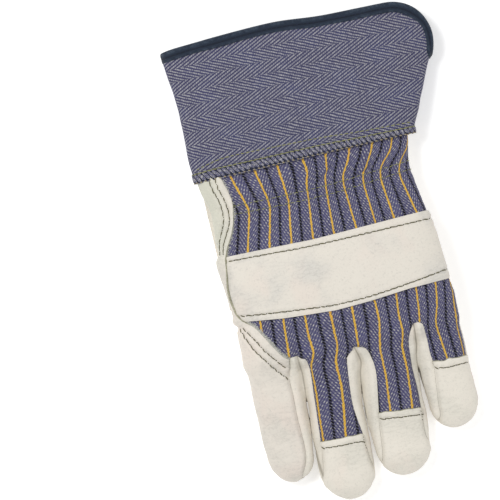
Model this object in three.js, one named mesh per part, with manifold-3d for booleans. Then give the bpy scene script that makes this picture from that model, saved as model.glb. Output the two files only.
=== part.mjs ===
// Fitters glove for the left hand, lying back up on its folded thumb.
// Lengths are millimetres. +X points to the little finger side, +Y to the cuff, +Z up from the floor.
// The tables are measured from the middle of the wrist seam. The group then moves the glove
// so that the origin is under the middle of its whole outline.
import * as THREE from 'three';
import { mergeVertices } from 'three/addons/utils/BufferGeometryUtils.js';
import Module from 'manifold-3d';

const wasm = await Module();
wasm.setup();

// Wall thicknesses and clearances
const LEATHER = 1.4;
const CUFF_WALL = 1.5;
const SEAM_GAP = 0.32;
const LAYER_GAP = 0.3;
const STRAP_THICKNESS = 1.3;
const BINDING_THICKNESS = 1.1;
const HEM_THICKNESS = 0.9;
const PATCH_THICKNESS = 1.3;
const WELT_THICKNESS = 1.4;

// Sizes of the trim
const BINDING_WIDTH = 5.7;
const HEM_EDGE = -0.5;
const HEM_WIDTH = 4.4;
const WELT_WIDTH = 4;
const WELT_DEPTH = 4;
const CORNER = { x: 62.1, y: 49.8, radius: 22.8, end: -30 };
const NOTCH = { y: 38.2, step: 0.6 };

// Middle of the glove's outline, seen from the wrist seam
const OUTLINE_CENTER = { x: 10.17, y: -56.54 };

// Cutting solids reach past the glove by these distances
const CUT = { low: -20, high: 80, beside: 80, far: 140, behind: -30 };
const OVERRUN = 5;
const KNIFE = { low: -5, high: 60, overlap: 0.1 };

// Facets of one section
const BODY_SIDES = 24;
const FINGER_SIDES = 12;
const FOLD_SIDES = 12;
const TIP_STEPS = [0.5, 0.8, 0.96];

// The hand part, one row for each section across the glove
const BODY = {
  power: 3,
  rows: [
    { y: 6, left: -59.2, right: 58.8, bottom: 9.3, top: 24.2 },
    { y: -4, left: -60.6, right: 57.8, bottom: 9.2, top: 24.9 },
    { y: -10, left: -59.2, right: 56, bottom: 10.6, top: 25.6 },
    { y: -19, left: -57.7, right: 55, bottom: 12.4, top: 26.8 },
    { y: -36, left: -59.1, right: 57.2, bottom: 14.3, top: 31 },
    { y: -48, left: -60.5, right: 59, bottom: 14.5, top: 34.2 },
    { y: -62, left: -59.5, right: 60.2, bottom: 14.6, top: 36.2 },
    { y: -76, left: -58.5, right: 61, bottom: 14.6, top: 36.8 },
    { y: -88, left: -58.3, right: 61.7, bottom: 14, top: 35.8 },
    { y: -103, left: -58.2, right: 60.8, bottom: 11.2, top: 32.6 },
  ],
  end: { y: -110.5, width: 0.95 },
};

const FINGERS = {
  index: {
    rows: [
      { y: -92, left: -57.8, right: -28.5, bottom: 14.6, top: 33.4 },
      { y: -104, left: -58.6, right: -28.7, bottom: 10.6, top: 31.2 },
      { y: -114, left: -58.4, right: -29.2, bottom: 6.6, top: 28.4 },
      { y: -136, left: -58.8, right: -30.5, bottom: 0.2, top: 22.4 },
      { y: -148, left: -59.1, right: -31.6, bottom: -0.8, top: 20.2 },
      { y: -158, left: -58.6, right: -33, bottom: -0.8, top: 18.6 },
    ],
    tip: -173.2,
  },
  middle: {
    rows: [
      { y: -92, left: -28.4, right: 4.4, bottom: 14.6, top: 34.4 },
      { y: -104, left: -28, right: 4.6, bottom: 10.6, top: 32 },
      { y: -114, left: -28.6, right: 3.6, bottom: 6.8, top: 29.4 },
      { y: -138, left: -29.9, right: -0.5, bottom: 0.2, top: 23.2 },
      { y: -152, left: -31.2, right: -1, bottom: -0.8, top: 20.8 },
      { y: -172, left: -32.2, right: -1.5, bottom: -0.8, top: 18.4 },
    ],
    tip: -190.2,
  },
  ring: {
    rows: [
      { y: -92, left: 5, right: 38.2, bottom: 14.6, top: 33.8 },
      { y: -104, left: 5.2, right: 37.8, bottom: 10.6, top: 31.4 },
      { y: -114, left: 4.2, right: 35.7, bottom: 6.6, top: 28.6 },
      { y: -124, left: 2.4, right: 33.6, bottom: 3.2, top: 25.8 },
      { y: -138, left: 0.3, right: 33.1, bottom: 0.2, top: 22.6 },
      { y: -152, left: -0.2, right: 32.8, bottom: -0.8, top: 20.2 },
      { y: -168, left: 0.8, right: 30.9, bottom: -0.8, top: 18.2 },
    ],
    tip: -184.2,
  },
  little: {
    rows: [
      { y: -92, left: 39.1, right: 60.8, bottom: 14.4, top: 31.4 },
      { y: -104, left: 38.6, right: 61.2, bottom: 10.4, top: 29.2 },
      { y: -114, left: 36.4, right: 61.8, bottom: 6.4, top: 26.2 },
      { y: -124, left: 34.3, right: 61.9, bottom: 3, top: 23.2 },
      { y: -143, left: 34.5, right: 62.2, bottom: -0.8, top: 18.8 },
      { y: -150, left: 35.2, right: 62.3, bottom: -0.8, top: 17.6 },
    ],
    tip: -164.8,
  },
};
const FINGER_POWER = 2.4;

// The leather fold at the side of the hand, where the thumb turns under the palm
const FOLD = {
  power: 2.4,
  rows: [
    { y: -2, left: -59.4, right: -46, bottom: 9.4, top: 22 },
    { y: -9, left: -58.9, right: -42.5, bottom: 3, top: 24 },
    { y: -18, left: -57.6, right: -40.5, bottom: -0.4, top: 25.4 },
    { y: -38, left: -59.3, right: -40, bottom: -0.8, top: 29.6 },
    { y: -62, left: -59.4, right: -40, bottom: -0.8, top: 33.4 },
    { y: -70, left: -58.8, right: -40.5, bottom: 0, top: 33 },
    { y: -75, left: -58.3, right: -42.5, bottom: 3.2, top: 31 },
    { y: -78, left: -57.2, right: -46, bottom: 8.5, top: 28 },
  ],
};

// The thumb lies flat under the palm. A row holds the two ends of a section, upper edge first.
const THUMB = {
  power: 2.5,
  rows: [
    { from: [-52, -7], to: [-52.5, -73.5], bottom: -0.8, top: 13.4 },
    { from: [-41.7, -4.4], to: [-42.7, -75.4], bottom: -0.8, top: 13.8 },
    { from: [-24.6, -6.6], to: [-31.3, -78.7], bottom: -0.8, top: 13.9 },
    { from: [-11.4, -24.6], to: [-19, -83.9], bottom: -0.8, top: 13.9 },
    { from: [3.3, -40.8], to: [-5.7, -91], bottom: -0.8, top: 13.9 },
    { from: [16.1, -51.2], to: [5.7, -94.8], bottom: -0.8, top: 13.8 },
    { from: [24.6, -57.8], to: [15.2, -96.4], bottom: -0.6, top: 13.4 },
    { from: [30.3, -64.5], to: [23, -93.4], bottom: 0.2, top: 12.4 },
    { from: [32.6, -71.5], to: [28.6, -87], bottom: 2.6, top: 10.4 },
  ],
};

const CUFF = {
  rows: [
    { y: -1, left: -62, right: 61.4, bottom: 6.8, top: 26.7, power: 3 },
    { y: 17, left: -62.5, right: 69.3, bottom: 5.6, top: 26, power: 2.9 },
    { y: 38, left: -62, right: 81, bottom: 3.2, top: 22.4, power: 2.5 },
    { y: 44, left: -62.3, right: 87.5, bottom: 2.7, top: 21.2, power: 2.4 },
    { y: 52, left: -62.7, right: 93, bottom: 2.2, top: 19.8, power: 2.3 },
    { y: 72, left: -63.7, right: 100, bottom: 1.3, top: 16.4, power: 2.3 },
    { y: 84, left: -64, right: 102, bottom: 1.3, top: 15.2, power: 2.3 },
  ],
};
const SIDE_FOLD = { slope: 0.115, height: 17.17 }; // its side folds lie where slope * y + z is height
const MOUTH_EDGE = [
  [-80, 70.6], [-66, 72.1], [-52.5, 74.8], [-3.2, 76.4], [26.4, 73.8], [62.1, 72.6],
];

// Seam lines on the back of the hand, as points on the floor plane
const WRAP_EDGE = [
  [-47.5, 12], [-47.5, -0.4], [-45.4, -10.5], [-44.7, -17.2], [-45.5, -22.6], [-48.6, -31.5],
  [-53.7, -41.9], [-55.7, -54.7], [-56.3, -65.3], [-54.8, -77], [-53.3, -80.2],
];
const INDEX_LAP = [[-53.3, -80.2], [-48.4, -85], [-44.7, -91.1], [-38, -102.7], [-34.1, -106.3]];
const INDEX_BACK_SEAM = [
  [-34.1, -106.3], [-36.2, -115.9], [-36.1, -125.1], [-36.8, -138.5], [-36.6, -157.7],
  [-38.3, -164.9], [-41.6, -171.2], [-45, -178],
];
const MIDDLE_LEFT_SEAM = [
  [-34.1, -106.3], [-31.3, -105.7], [-27.9, -107.6], [-25, -110.1], [-25.4, -122.5],
  [-27.3, -143.3], [-28.3, -154.7], [-31, -172.6], [-35, -181],
];
const MIDDLE_RING_SEAM = [
  [2, -181], [-2.3, -173.5], [-3.7, -155.5], [-5.5, -138.4], [-4.7, -126], [-3.3, -114.7],
  [-2.2, -112.5], [1.3, -109.4], [4.8, -109], [7.4, -110.4], [9.1, -113.5], [10.4, -123.6],
  [7.9, -140.3], [5.4, -154.1], [3, -171], [-1, -179],
];
const RING_LITTLE_SEAM = [
  [35, -177], [30.2, -166], [30.6, -152.7], [31.5, -141.2], [31.3, -122.7], [32.1, -112.5],
  [33.9, -107.1], [36.5, -103.6], [39, -102.8], [41, -104], [41.8, -107], [41.7, -120.5],
  [42.1, -128.8], [39.8, -150], [39, -157], [34, -164],
];
const CAP_EDGES = [
  [[-28.9, -154.6], [-3.4, -156]],
  [[6.5, -146.2], [31, -149.5]],
  [[41.8, -125.5], [70, -128]],
];

// Seam lines on the palm side
const FINGER_BASE_SEAM = [
  [-29, -116], [-26.4, -111.5], [-23.3, -106.5], [-20.1, -101.2], [3.6, -100.6], [24.5, -102],
  [28.2, -104.5], [31, -109], [37, -118],
];
const FRONT_SPLIT = [[1.3, -99.5], [1.3, -106], [3.9, -116]];
const THUMB_BASE_X = -44;
const THUMB_BASE_Y = -80.2;
const THUMB_ROOT_X = -41;
const THUMB_SEAM_Z = 6.6;
const THUMB_CLEARANCE = 0.4;

// Outlines of the pieces sewn on top
const STRAP_OUTLINE = [
  [-54.2, -43.9], [-7.8, -45.6], [70, -44.4], [70, -83.2], [39, -83.6], [17.2, -85.3],
  [-3.3, -85.9], [-31.6, -83.6], [-52.6, -80.6], [-55.2, -76.4], [-56.4, -66], [-55.9, -56],
];
const STRAP_REACH = { start: -95, end: -35, steps: 5 };
const PATCH = {
  left: -11.2,
  right: 56,
  foot: 4.6,
  top: 31.8,
  footInset: 0.71,
  radius: 16,
  steps: 5,
  high: 12,
};

// Colours and finishes
const MATERIALS = {
  leather: { color: 0xe2ddd0, roughness: 0.72, metalness: 0 },
  ticking_cloth: { color: 0x62608c, roughness: 0.9, metalness: 0 },
  cuff_cloth: { color: 0x6c7298, roughness: 0.9, metalness: 0 },
  binding_tape: { color: 0x263446, roughness: 0.8, metalness: 0 },
  seam_thread: { color: 0xb9ba98, roughness: 0.8, metalness: 0 },
  welt_leather: { color: 0xcfcdc4, roughness: 0.8, metalness: 0 },
};

// Closed surfaces and solids

function closedTube(rings) {
  // Rings hold the same number of points. Both ends are closed by a fan to their middle.
  const sides = rings[0].length;
  const points = rings.flat();
  const faces = [];
  for (let ring = 0; ring + 1 < rings.length; ring += 1) {
    for (let side = 0; side < sides; side += 1) {
      const next = (side + 1) % sides;
      const a = ring * sides + side;
      const b = ring * sides + next;
      faces.push([a, b, b + sides], [a, b + sides, a + sides]);
    }
  }
  const last = (rings.length - 1) * sides;
  const first = points.length;
  points.push(middleOf(rings[0]), middleOf(rings[rings.length - 1]));
  for (let side = 0; side < sides; side += 1) {
    const next = (side + 1) % sides;
    faces.push([first, next, side], [first + 1, last + side, last + next]);
  }
  return solidFromFaces(points, faces);
}

function middleOf(points) {
  const sum = new THREE.Vector3();
  for (const point of points) sum.add(point);
  return sum.divideScalar(points.length);
}

function solidFromFaces(points, faces) {
  let volume = 0;
  for (const [a, b, c] of faces) {
    volume += points[a].dot(new THREE.Vector3().crossVectors(points[b], points[c]));
  }
  const outward = volume > 0 ? faces : faces.map(([a, b, c]) => [a, c, b]);
  return new wasm.Manifold(new wasm.Mesh({
    numProp: 3,
    vertProperties: new Float32Array(points.flatMap((point) => point.toArray())),
    triVerts: new Uint32Array(outward.flat()),
  }));
}

function solidFromGeometry(geometry) {
  geometry.deleteAttribute('normal');
  geometry.deleteAttribute('uv');
  const merged = mergeVertices(geometry, 1e-4);
  return new wasm.Manifold(new wasm.Mesh({
    numProp: 3,
    vertProperties: new Float32Array(merged.getAttribute('position').array),
    triVerts: new Uint32Array(merged.getIndex().array),
  }));
}

function geometryFromMesh(mesh) {
  const geometry = new THREE.BufferGeometry();
  geometry.setAttribute('position', new THREE.BufferAttribute(new Float32Array(mesh.vertProperties), 3));
  geometry.setIndex(new THREE.BufferAttribute(new Uint32Array(mesh.triVerts), 1));
  geometry.computeVertexNormals();
  return geometry;
}

function prism(outline, low = CUT.low, high = CUT.high) {
  const shape = new THREE.Shape(outline.map(([x, y]) => new THREE.Vector2(x, y)));
  const geometry = new THREE.ExtrudeGeometry(shape, { depth: high - low, bevelEnabled: false });
  geometry.translate(0, 0, low);
  return solidFromGeometry(geometry);
}

function unionOf(solids) {
  return solids.reduce((sum, solid) => sum.add(solid));
}

// Sections

function interpolate(rows, y, value) {
  // Rows run from high y to low y or the other way. Beyond their ends the value stays.
  const sorted = [...rows].sort((a, b) => a.y - b.y);
  if (y <= sorted[0].y) return value(sorted[0]);
  for (let i = 0; i + 1 < sorted.length; i += 1) {
    const [low, high] = [sorted[i], sorted[i + 1]];
    if (y <= high.y) {
      const t = (y - low.y) / (high.y - low.y);
      return THREE.MathUtils.lerp(value(low), value(high), t);
    }
  }
  return value(sorted[sorted.length - 1]);
}

function sectionRing({ from, to, bottom, top }, power, sides, grow) {
  const start = new THREE.Vector3(from[0], from[1], 0);
  const end = new THREE.Vector3(to[0], to[1], 0);
  const along = end.clone().sub(start);
  const halfWidth = along.length() / 2 + grow;
  const halfHeight = (top - bottom) / 2 + grow;
  along.normalize();
  const center = start.add(end).divideScalar(2);
  center.z = (top + bottom) / 2;
  const ring = [];
  for (let side = 0; side < sides; side += 1) {
    const angle = (2 * Math.PI * (side + 0.5)) / sides;
    const across = Math.sign(Math.cos(angle)) * Math.abs(Math.cos(angle)) ** (2 / power);
    const up = Math.sign(Math.sin(angle)) * Math.abs(Math.sin(angle)) ** (2 / power);
    ring.push(center.clone().addScaledVector(along, across * halfWidth).setZ(center.z + up * halfHeight));
  }
  return ring;
}

function crossSection({ y, left, right, bottom, top }) {
  return { from: [left, y], to: [right, y], bottom, top };
}

function scaledRow(row, y, width, height) {
  const x = (row.left + row.right) / 2;
  const z = (row.bottom + row.top) / 2;
  return {
    y,
    left: x + (row.left - x) * width,
    right: x + (row.right - x) * width,
    bottom: z + (row.bottom - z) * height,
    top: z + (row.top - z) * height,
  };
}

function longerAtFirst(rows, end) {
  // Carries the first section straight on, for a hollow that runs out of its wall
  return end === 0 ? [...rows] : [{ ...rows[0], y: rows[0].y + end }, ...rows];
}

function bodySolid(grow, end = 0) {
  const last = BODY.rows[BODY.rows.length - 1];
  const rows = longerAtFirst(BODY.rows, end);
  const length = last.y - BODY.end.y;
  for (const step of TIP_STEPS) {
    rows.push(scaledRow(last, last.y - step * length, BODY.end.width, Math.sqrt(1 - step * step)));
  }
  const rings = rows.map((row) => sectionRing(crossSection(row), BODY.power, BODY_SIDES, grow));
  return closedTube(rings);
}

function fingerSolid({ rows, tip }, grow) {
  const last = rows[rows.length - 1];
  const length = last.y - tip + grow;
  const rounded = TIP_STEPS.map((step) => {
    const scale = Math.sqrt(1 - step * step);
    return scaledRow(last, last.y - step * length, scale, scale);
  });
  const rings = rows.map((row) => sectionRing(crossSection(row), FINGER_POWER, FINGER_SIDES, grow));
  for (const [i, row] of rounded.entries()) {
    const scale = Math.sqrt(1 - TIP_STEPS[i] ** 2);
    rings.push(sectionRing(crossSection(row), FINGER_POWER, FINGER_SIDES, grow * scale));
  }
  return closedTube(rings);
}

function foldSolid(grow) {
  return closedTube(FOLD.rows.map((row) => sectionRing(crossSection(row), FOLD.power, FOLD_SIDES, grow)));
}

function thumbSolid(grow) {
  return closedTube(THUMB.rows.map((row) => sectionRing(row, THUMB.power, FINGER_SIDES, grow)));
}

function cuffSolid(grow, end = 0) {
  const rows = longerAtFirst(CUFF.rows, -end);
  return closedTube(rows.map((row) => sectionRing(crossSection(row), row.power, BODY_SIDES, grow)));
}

function aboveFloor(solid, floor = 0) {
  const reach = 300;
  const outline = [[-reach, -reach], [reach, -reach], [reach, reach], [-reach, reach]];
  return solid.intersect(prism(outline, floor, reach));
}

// The glove's skin: the outer form less the same form moved in by the wall

function handForm(grow, floor, end) {
  const fingers = Object.values(FINGERS).map((finger) => fingerSolid(finger, grow));
  const parts = [bodySolid(grow, end), foldSolid(grow), ...fingers];
  const clearOfPalm = THUMB_CLEARANCE - grow;
  parts.push(thumbSolid(grow).subtract(bodySolid(clearOfPalm)));
  return aboveFloor(unionOf(parts), floor);
}

// Rows that the side seam follows: the hand, then the middle finger past its root
const SEAM_ROWS = [...BODY.rows, ...FINGERS.middle.rows.slice(2)];

function seamHeight(y) {
  return interpolate(SEAM_ROWS, y, ({ bottom, top }) => (bottom + top) / 2);
}

function palmUnderside(y) {
  // Height of the palm's outer face above the thumb's base
  return interpolate(BODY.rows, y, ({ left, right, bottom, top }) => {
    const across = Math.abs(THUMB_ROOT_X - (left + right) / 2) / ((right - left) / 2);
    const depth = ((top - bottom) / 2) * (1 - across ** BODY.power) ** (1 / BODY.power);
    return (top + bottom) / 2 - depth;
  });
}

// Knives cut the skin along the seams. The level ones lie along the sides of the hand and
// the fingers, between the palm and the thumb, and around the thumb.
const SIDE_SEAM = { left: 44, right: 70, start: -112, end: 12, steps: 9 };
const FINGER_SEAM = { left: -43.2, right: 70, start: -200, end: -100, steps: 7 };
const THUMB_TOP_SEAM = { left: THUMB_BASE_X - 1, right: -36, start: -90, end: 1, steps: 7 };
const THUMB_SIDE_SEAM = { left: THUMB_BASE_X, right: 45, start: -110, end: 0, steps: 1 };
const BASE_LINE = { left: -70, backEnd: -53.2, palmEnd: THUMB_BASE_X - 0.1, wrist: 12 };
const PALM_STEP = 4;

function ribbon(points, low, high, width = SEAM_GAP) {
  const rings = points.map(([x, y], i) => {
    const before = points[Math.max(i - 1, 0)];
    const after = points[Math.min(i + 1, points.length - 1)];
    const across = new THREE.Vector2(before[1] - after[1], after[0] - before[0]).setLength(width / 2);
    const corner = (side, z) => new THREE.Vector3(x + side * across.x, y + side * across.y, z);
    return [corner(-1, low(y)), corner(1, low(y)), corner(1, high(y)), corner(-1, high(y))];
  });
  return closedTube(rings);
}

function slab(left, right, start, end, low, high, steps) {
  const rings = [];
  for (let i = 0; i <= steps; i += 1) {
    const y = THREE.MathUtils.lerp(start, end, i / steps);
    const corner = (x, z) => new THREE.Vector3(x, y, z);
    rings.push([corner(left, low(y)), corner(right, low(y)), corner(right, high(y)), corner(left, high(y))]);
  }
  return closedTube(rings);
}

function sheet({ left, right, start, end, steps }, height) {
  const half = SEAM_GAP / 2;
  return slab(left, right, start, end, (y) => height(y) - half, (y) => height(y) + half, steps);
}

function seamKnives() {
  const { low, high, overlap } = KNIFE;
  const justUnderSeam = (y) => seamHeight(y) - overlap;
  const justOverSeam = (y) => seamHeight(y) + overlap;
  const baseLine = (end) => [[BASE_LINE.left, THUMB_BASE_Y], [end, THUMB_BASE_Y]];
  const onBack = [
    WRAP_EDGE, INDEX_LAP, INDEX_BACK_SEAM, MIDDLE_LEFT_SEAM, MIDDLE_RING_SEAM, RING_LITTLE_SEAM,
    ...CAP_EDGES, baseLine(BASE_LINE.backEnd),
  ];
  const onPalm = [FINGER_BASE_SEAM, FRONT_SPLIT, baseLine(BASE_LINE.palmEnd)];
  const thumbBase = [[THUMB_BASE_X, THUMB_BASE_Y - overlap], [THUMB_BASE_X, BASE_LINE.wrist]];
  const belowPalm = (y) => palmUnderside(y) - THUMB_CLEARANCE / 2;
  return [
    ...onBack.map((line) => ribbon(line, justUnderSeam, () => high)),
    ...onPalm.map((line) => ribbon(line, () => low, justOverSeam)),
    ribbon(thumbBase, () => THUMB_SEAM_Z - overlap, (y) => palmUnderside(y) + PALM_STEP),
    sheet(SIDE_SEAM, seamHeight),
    sheet(FINGER_SEAM, seamHeight),
    sheet(THUMB_TOP_SEAM, belowPalm),
    sheet(THUMB_SIDE_SEAM, () => THUMB_SEAM_Z),
  ];
}

function looseParts(solid) {
  // Triangles that share a corner belong to one piece
  const mesh = solid.getMesh();
  const parent = Array.from({ length: mesh.vertProperties.length / 3 }, (_, i) => i);
  const root = (i) => {
    let top = i;
    while (parent[top] !== top) top = parent[top];
    let step = i;
    while (parent[step] !== top) [parent[step], step] = [top, parent[step]];
    return top;
  };
  const count = mesh.triVerts.length / 3;
  for (let t = 0; t < count; t += 1) {
    const [a, b, c] = mesh.triVerts.subarray(3 * t, 3 * t + 3);
    parent[root(a)] = root(b);
    parent[root(b)] = root(c);
  }
  const groups = new Map();
  for (let t = 0; t < count; t += 1) {
    const key = root(mesh.triVerts[3 * t]);
    if (!groups.has(key)) groups.set(key, []);
    groups.get(key).push(t);
  }
  return [...groups.values()].map((triangles) => compactMesh(mesh, triangles));
}

function compactMesh(mesh, triangles) {
  const used = new Map();
  const vertices = [];
  const faces = [];
  for (const t of triangles) {
    for (const corner of mesh.triVerts.subarray(3 * t, 3 * t + 3)) {
      if (!used.has(corner)) {
        used.set(corner, used.size);
        vertices.push(...mesh.vertProperties.subarray(3 * corner, 3 * corner + 3));
      }
      faces.push(used.get(corner));
    }
  }
  return { vertProperties: vertices, triVerts: faces };
}

function distanceTo(mesh, [x, y, z]) {
  let nearest = Infinity;
  for (let i = 0; i < mesh.vertProperties.length; i += 3) {
    const [px, py, pz] = mesh.vertProperties.slice(i, i + 3);
    nearest = Math.min(nearest, Math.hypot(px - x, py - y, pz - z));
  }
  return nearest;
}

// A spot on each panel, to name what the knives set free
const PANEL_SPOTS = {
  back_cloth: [8, -30, 28],
  palm: [50, -60, 15.5],
  thumb_front: [-5, -60, 0],
  thumb_back: [-5, -60, 13.9],
  middle_front: [-16, -140, 0.5],
  ring_front: [16, -140, 0.5],
  fourchette_index_middle: [-31, -135, 15],
  fourchette_middle_ring: [1, -135, 15],
  fourchette_ring_little: [39, -106, 28],
  middle_cap: [-17, -165, 19],
  ring_cap: [17, -160, 19],
  little_cap: [50, -140, 19],
};

// Trim

const MOUTH_STEPS = 10;
const ARC_STEPS = 7;

function arc(x, y, radius, from, to, steps) {
  const points = [];
  for (let i = 0; i <= steps; i += 1) {
    const angle = THREE.MathUtils.degToRad(THREE.MathUtils.lerp(from, to, i / steps));
    points.push([x + radius * Math.cos(angle), y + radius * Math.sin(angle)]);
  }
  return points;
}

function mouthOutline(inset) {
  // The mouth's edge, its rounded corner and the notch, moved in by the inset
  const curve = new THREE.CatmullRomCurve3(MOUTH_EDGE.map(([x, y]) => new THREE.Vector3(x, y, 0)));
  const edge = curve.getPoints(MOUTH_STEPS).slice(0, -1).map(({ x, y }) => [x, y - inset]);
  const corner = arc(CORNER.x, CORNER.y, CORNER.radius - inset, 90, CORNER.end, ARC_STEPS);
  const [cornerEnd] = arc(CORNER.x, CORNER.y, CORNER.radius, CORNER.end, CORNER.end, 1);
  const notch = [[cornerEnd[0] - inset / 2 + NOTCH.step, NOTCH.y], [CUT.far, NOTCH.y]];
  const behind = [[CUT.far, CUT.behind], [-CUT.beside, CUT.behind]];
  return [...edge, ...corner, ...notch, ...behind].reverse();
}

function cuffPiece() {
  const wall = cuffSolid(0).subtract(cuffSolid(-CUFF_WALL, OVERRUN));
  return wall.intersect(prism(mouthOutline(BINDING_THICKNESS + LAYER_GAP)));
}

function bindingLoop() {
  const outside = cuffSolid(LAYER_GAP + BINDING_THICKNESS);
  const inside = cuffSolid(-CUFF_WALL - LAYER_GAP - BINDING_THICKNESS, OVERRUN);
  const slot = cuffSolid(LAYER_GAP).subtract(cuffSolid(-CUFF_WALL - LAYER_GAP, OVERRUN));
  const band = outside.subtract(inside)
    .intersect(prism(mouthOutline(0)))
    .subtract(prism(mouthOutline(BINDING_WIDTH)));
  return aboveFloor(band.subtract(slot.intersect(prism(mouthOutline(BINDING_THICKNESS)))));
}

// The tape's two runs, over the back and over the palm, meet in the cuff's side folds

function bindingRuns() {
  const { slope, height } = SIDE_FOLD;
  const lean = Math.hypot(slope, 1);
  const loop = bindingLoop();
  return {
    cuff_binding_back: loop.trimByPlane([0, slope, 1], (height + LAYER_GAP / 2) / lean),
    cuff_binding_palm: loop.trimByPlane([0, -slope, -1], -(height - LAYER_GAP / 2) / lean),
  };
}

function hemPiece() {
  const ring = cuffSolid(LAYER_GAP + HEM_THICKNESS, OVERRUN).subtract(cuffSolid(LAYER_GAP, 2 * OVERRUN));
  const [low, high] = [HEM_EDGE, HEM_EDGE + HEM_WIDTH];
  return ring.intersect(prism([[-CUT.far, low], [CUT.far, low], [CUT.far, high], [-CUT.far, high]]));
}

function patchPiece() {
  const { left, right, foot, top, footInset, radius } = PATCH;
  const outline = [
    [left + footInset, foot],
    ...arc(left + radius, top - radius, radius, 180, 90, PATCH.steps),
    ...arc(right - radius, top - radius, radius, 90, 0, PATCH.steps),
    [right - footInset, foot],
  ];
  const layer = cuffSolid(LAYER_GAP + PATCH_THICKNESS).subtract(cuffSolid(LAYER_GAP));
  return layer.intersect(prism(outline.reverse(), KNIFE.low, PATCH.high));
}

function strapPiece() {
  const grown = (grow) => bodySolid(grow).add(foldSolid(grow));
  const layer = grown(LAYER_GAP + STRAP_THICKNESS).subtract(grown(LAYER_GAP));
  const { start, end, steps } = STRAP_REACH;
  const overSeam = (y) => seamHeight(y) + SEAM_GAP;
  const upper = slab(-CUT.beside, CUT.beside, start, end, overSeam, () => KNIFE.high, steps);
  return layer.intersect(prism([...STRAP_OUTLINE].reverse())).intersect(upper);
}

function weltPiece() {
  const fingers = [FINGERS.middle, FINGERS.ring];
  const form = (grow) => unionOf([bodySolid(grow), ...fingers.map((finger) => fingerSolid(finger, grow))]);
  const layer = form(LAYER_GAP + WELT_THICKNESS).subtract(form(LAYER_GAP));
  const line = FINGER_BASE_SEAM.slice(2, -2);
  return layer.intersect(ribbon(line, () => 0, (y) => seamHeight(y) - WELT_DEPTH, WELT_WIDTH));
}

// The model

function material(slot) {
  return new THREE.MeshStandardMaterial({ name: slot, ...MATERIALS[slot] });
}

const SLOTS = {
  back_cloth: 'ticking_cloth',
  palm: 'leather',
  thumb_front: 'leather',
  thumb_back: 'leather',
  middle_front: 'leather',
  ring_front: 'leather',
  fourchette_index_middle: 'leather',
  fourchette_middle_ring: 'leather',
  fourchette_ring_little: 'leather',
  middle_cap: 'leather',
  ring_cap: 'leather',
  little_cap: 'leather',
  knuckle_strap: 'leather',
  cuff_patch: 'leather',
  cuff: 'cuff_cloth',
  cuff_binding_back: 'binding_tape',
  cuff_binding_palm: 'binding_tape',
  cuff_hem: 'seam_thread',
  finger_welt: 'welt_leather',
};

function addPiece(group, name, geometry) {
  const mesh = new THREE.Mesh(geometry, material(SLOTS[name]));
  mesh.name = name;
  group.add(mesh);
}

const glove = new THREE.Group();
glove.name = 'fitters_glove';

const hand = new THREE.Group();
const skin = handForm(0, 0, 0).subtract(handForm(-LEATHER, LEATHER, OVERRUN));
const panels = looseParts(skin.subtract(unionOf(seamKnives())));
for (const [name, spot] of Object.entries(PANEL_SPOTS)) {
  const closer = (best, panel) => (distanceTo(panel, spot) < distanceTo(best, spot) ? panel : best);
  const nearest = panels.reduce(closer);
  addPiece(hand, name, geometryFromMesh(nearest));
}
for (const [name, solid] of [['knuckle_strap', strapPiece()], ['finger_welt', weltPiece()]]) {
  addPiece(hand, name, geometryFromMesh(solid.getMesh()));
}

const sleeve = new THREE.Group();
const sleevePieces = {
  cuff: cuffPiece(),
  ...bindingRuns(),
  cuff_hem: hemPiece(),
  cuff_patch: patchPiece(),
};
for (const [name, solid] of Object.entries(sleevePieces)) {
  addPiece(sleeve, name, geometryFromMesh(solid.getMesh()));
}

glove.add(hand, sleeve);
glove.position.set(-OUTLINE_CENTER.x, -OUTLINE_CENTER.y, 0);
glove.updateMatrixWorld(true);

export default glove;
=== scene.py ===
# %% [markdown]
# A fitters glove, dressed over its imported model.
# The glove is a left one, back up, lying on its folded thumb, with the cuff towards +Y and the
# little finger towards +X. Every piece is worked out in millimetres round the middle of the wrist
# seam and moved into the model's frame, in metres, when its mesh is made.

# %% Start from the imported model
import math

import bpy
import numpy as np
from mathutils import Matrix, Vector
from mathutils.bvhtree import BVHTree


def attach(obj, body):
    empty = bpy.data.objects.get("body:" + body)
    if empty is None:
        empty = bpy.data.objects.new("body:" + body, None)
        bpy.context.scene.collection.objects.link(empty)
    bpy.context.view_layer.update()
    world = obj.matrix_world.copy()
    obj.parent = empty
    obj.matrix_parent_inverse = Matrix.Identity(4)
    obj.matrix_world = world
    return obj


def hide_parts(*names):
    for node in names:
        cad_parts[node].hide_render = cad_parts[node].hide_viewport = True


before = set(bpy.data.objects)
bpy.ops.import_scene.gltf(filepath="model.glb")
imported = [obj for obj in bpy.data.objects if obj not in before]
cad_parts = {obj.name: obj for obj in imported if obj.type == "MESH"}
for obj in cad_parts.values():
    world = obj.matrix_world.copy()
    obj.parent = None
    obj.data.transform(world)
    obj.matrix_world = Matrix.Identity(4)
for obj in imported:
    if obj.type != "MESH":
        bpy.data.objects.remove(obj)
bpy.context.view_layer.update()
print("nodes in the packed model:", len(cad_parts))

# %% [markdown]
# The photograph looks straight down on the glove from far off with a long lens: its fingertips
# are hardly smaller than its raised back. The camera's place is known and isn't turned by eye: the
# middle of the picture is a point beside the index finger, and the glove lies 13.45 degrees askew.

# %% Camera, floor and light
MILLIMETRE = 0.001
FRAME_MIDDLE = np.array([10.17, -56.54, 0.0])  # the model's origin, seen from the wrist seam
PICTURE_MIDDLE = (-41.1, -43.0)
PICTURE_WIDTH = 275.0
PICTURE_TURN = math.radians(-13.45)
CAMERA_HEIGHT = 2800.0
GLOVE_HEIGHT = 20.0
FLOOR_GAP = 0.05


def to_model(points):
    """Millimetres round the wrist seam to metres in the model's frame."""
    return (np.asarray(points, dtype=float) - FRAME_MIDDLE) * MILLIMETRE


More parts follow.
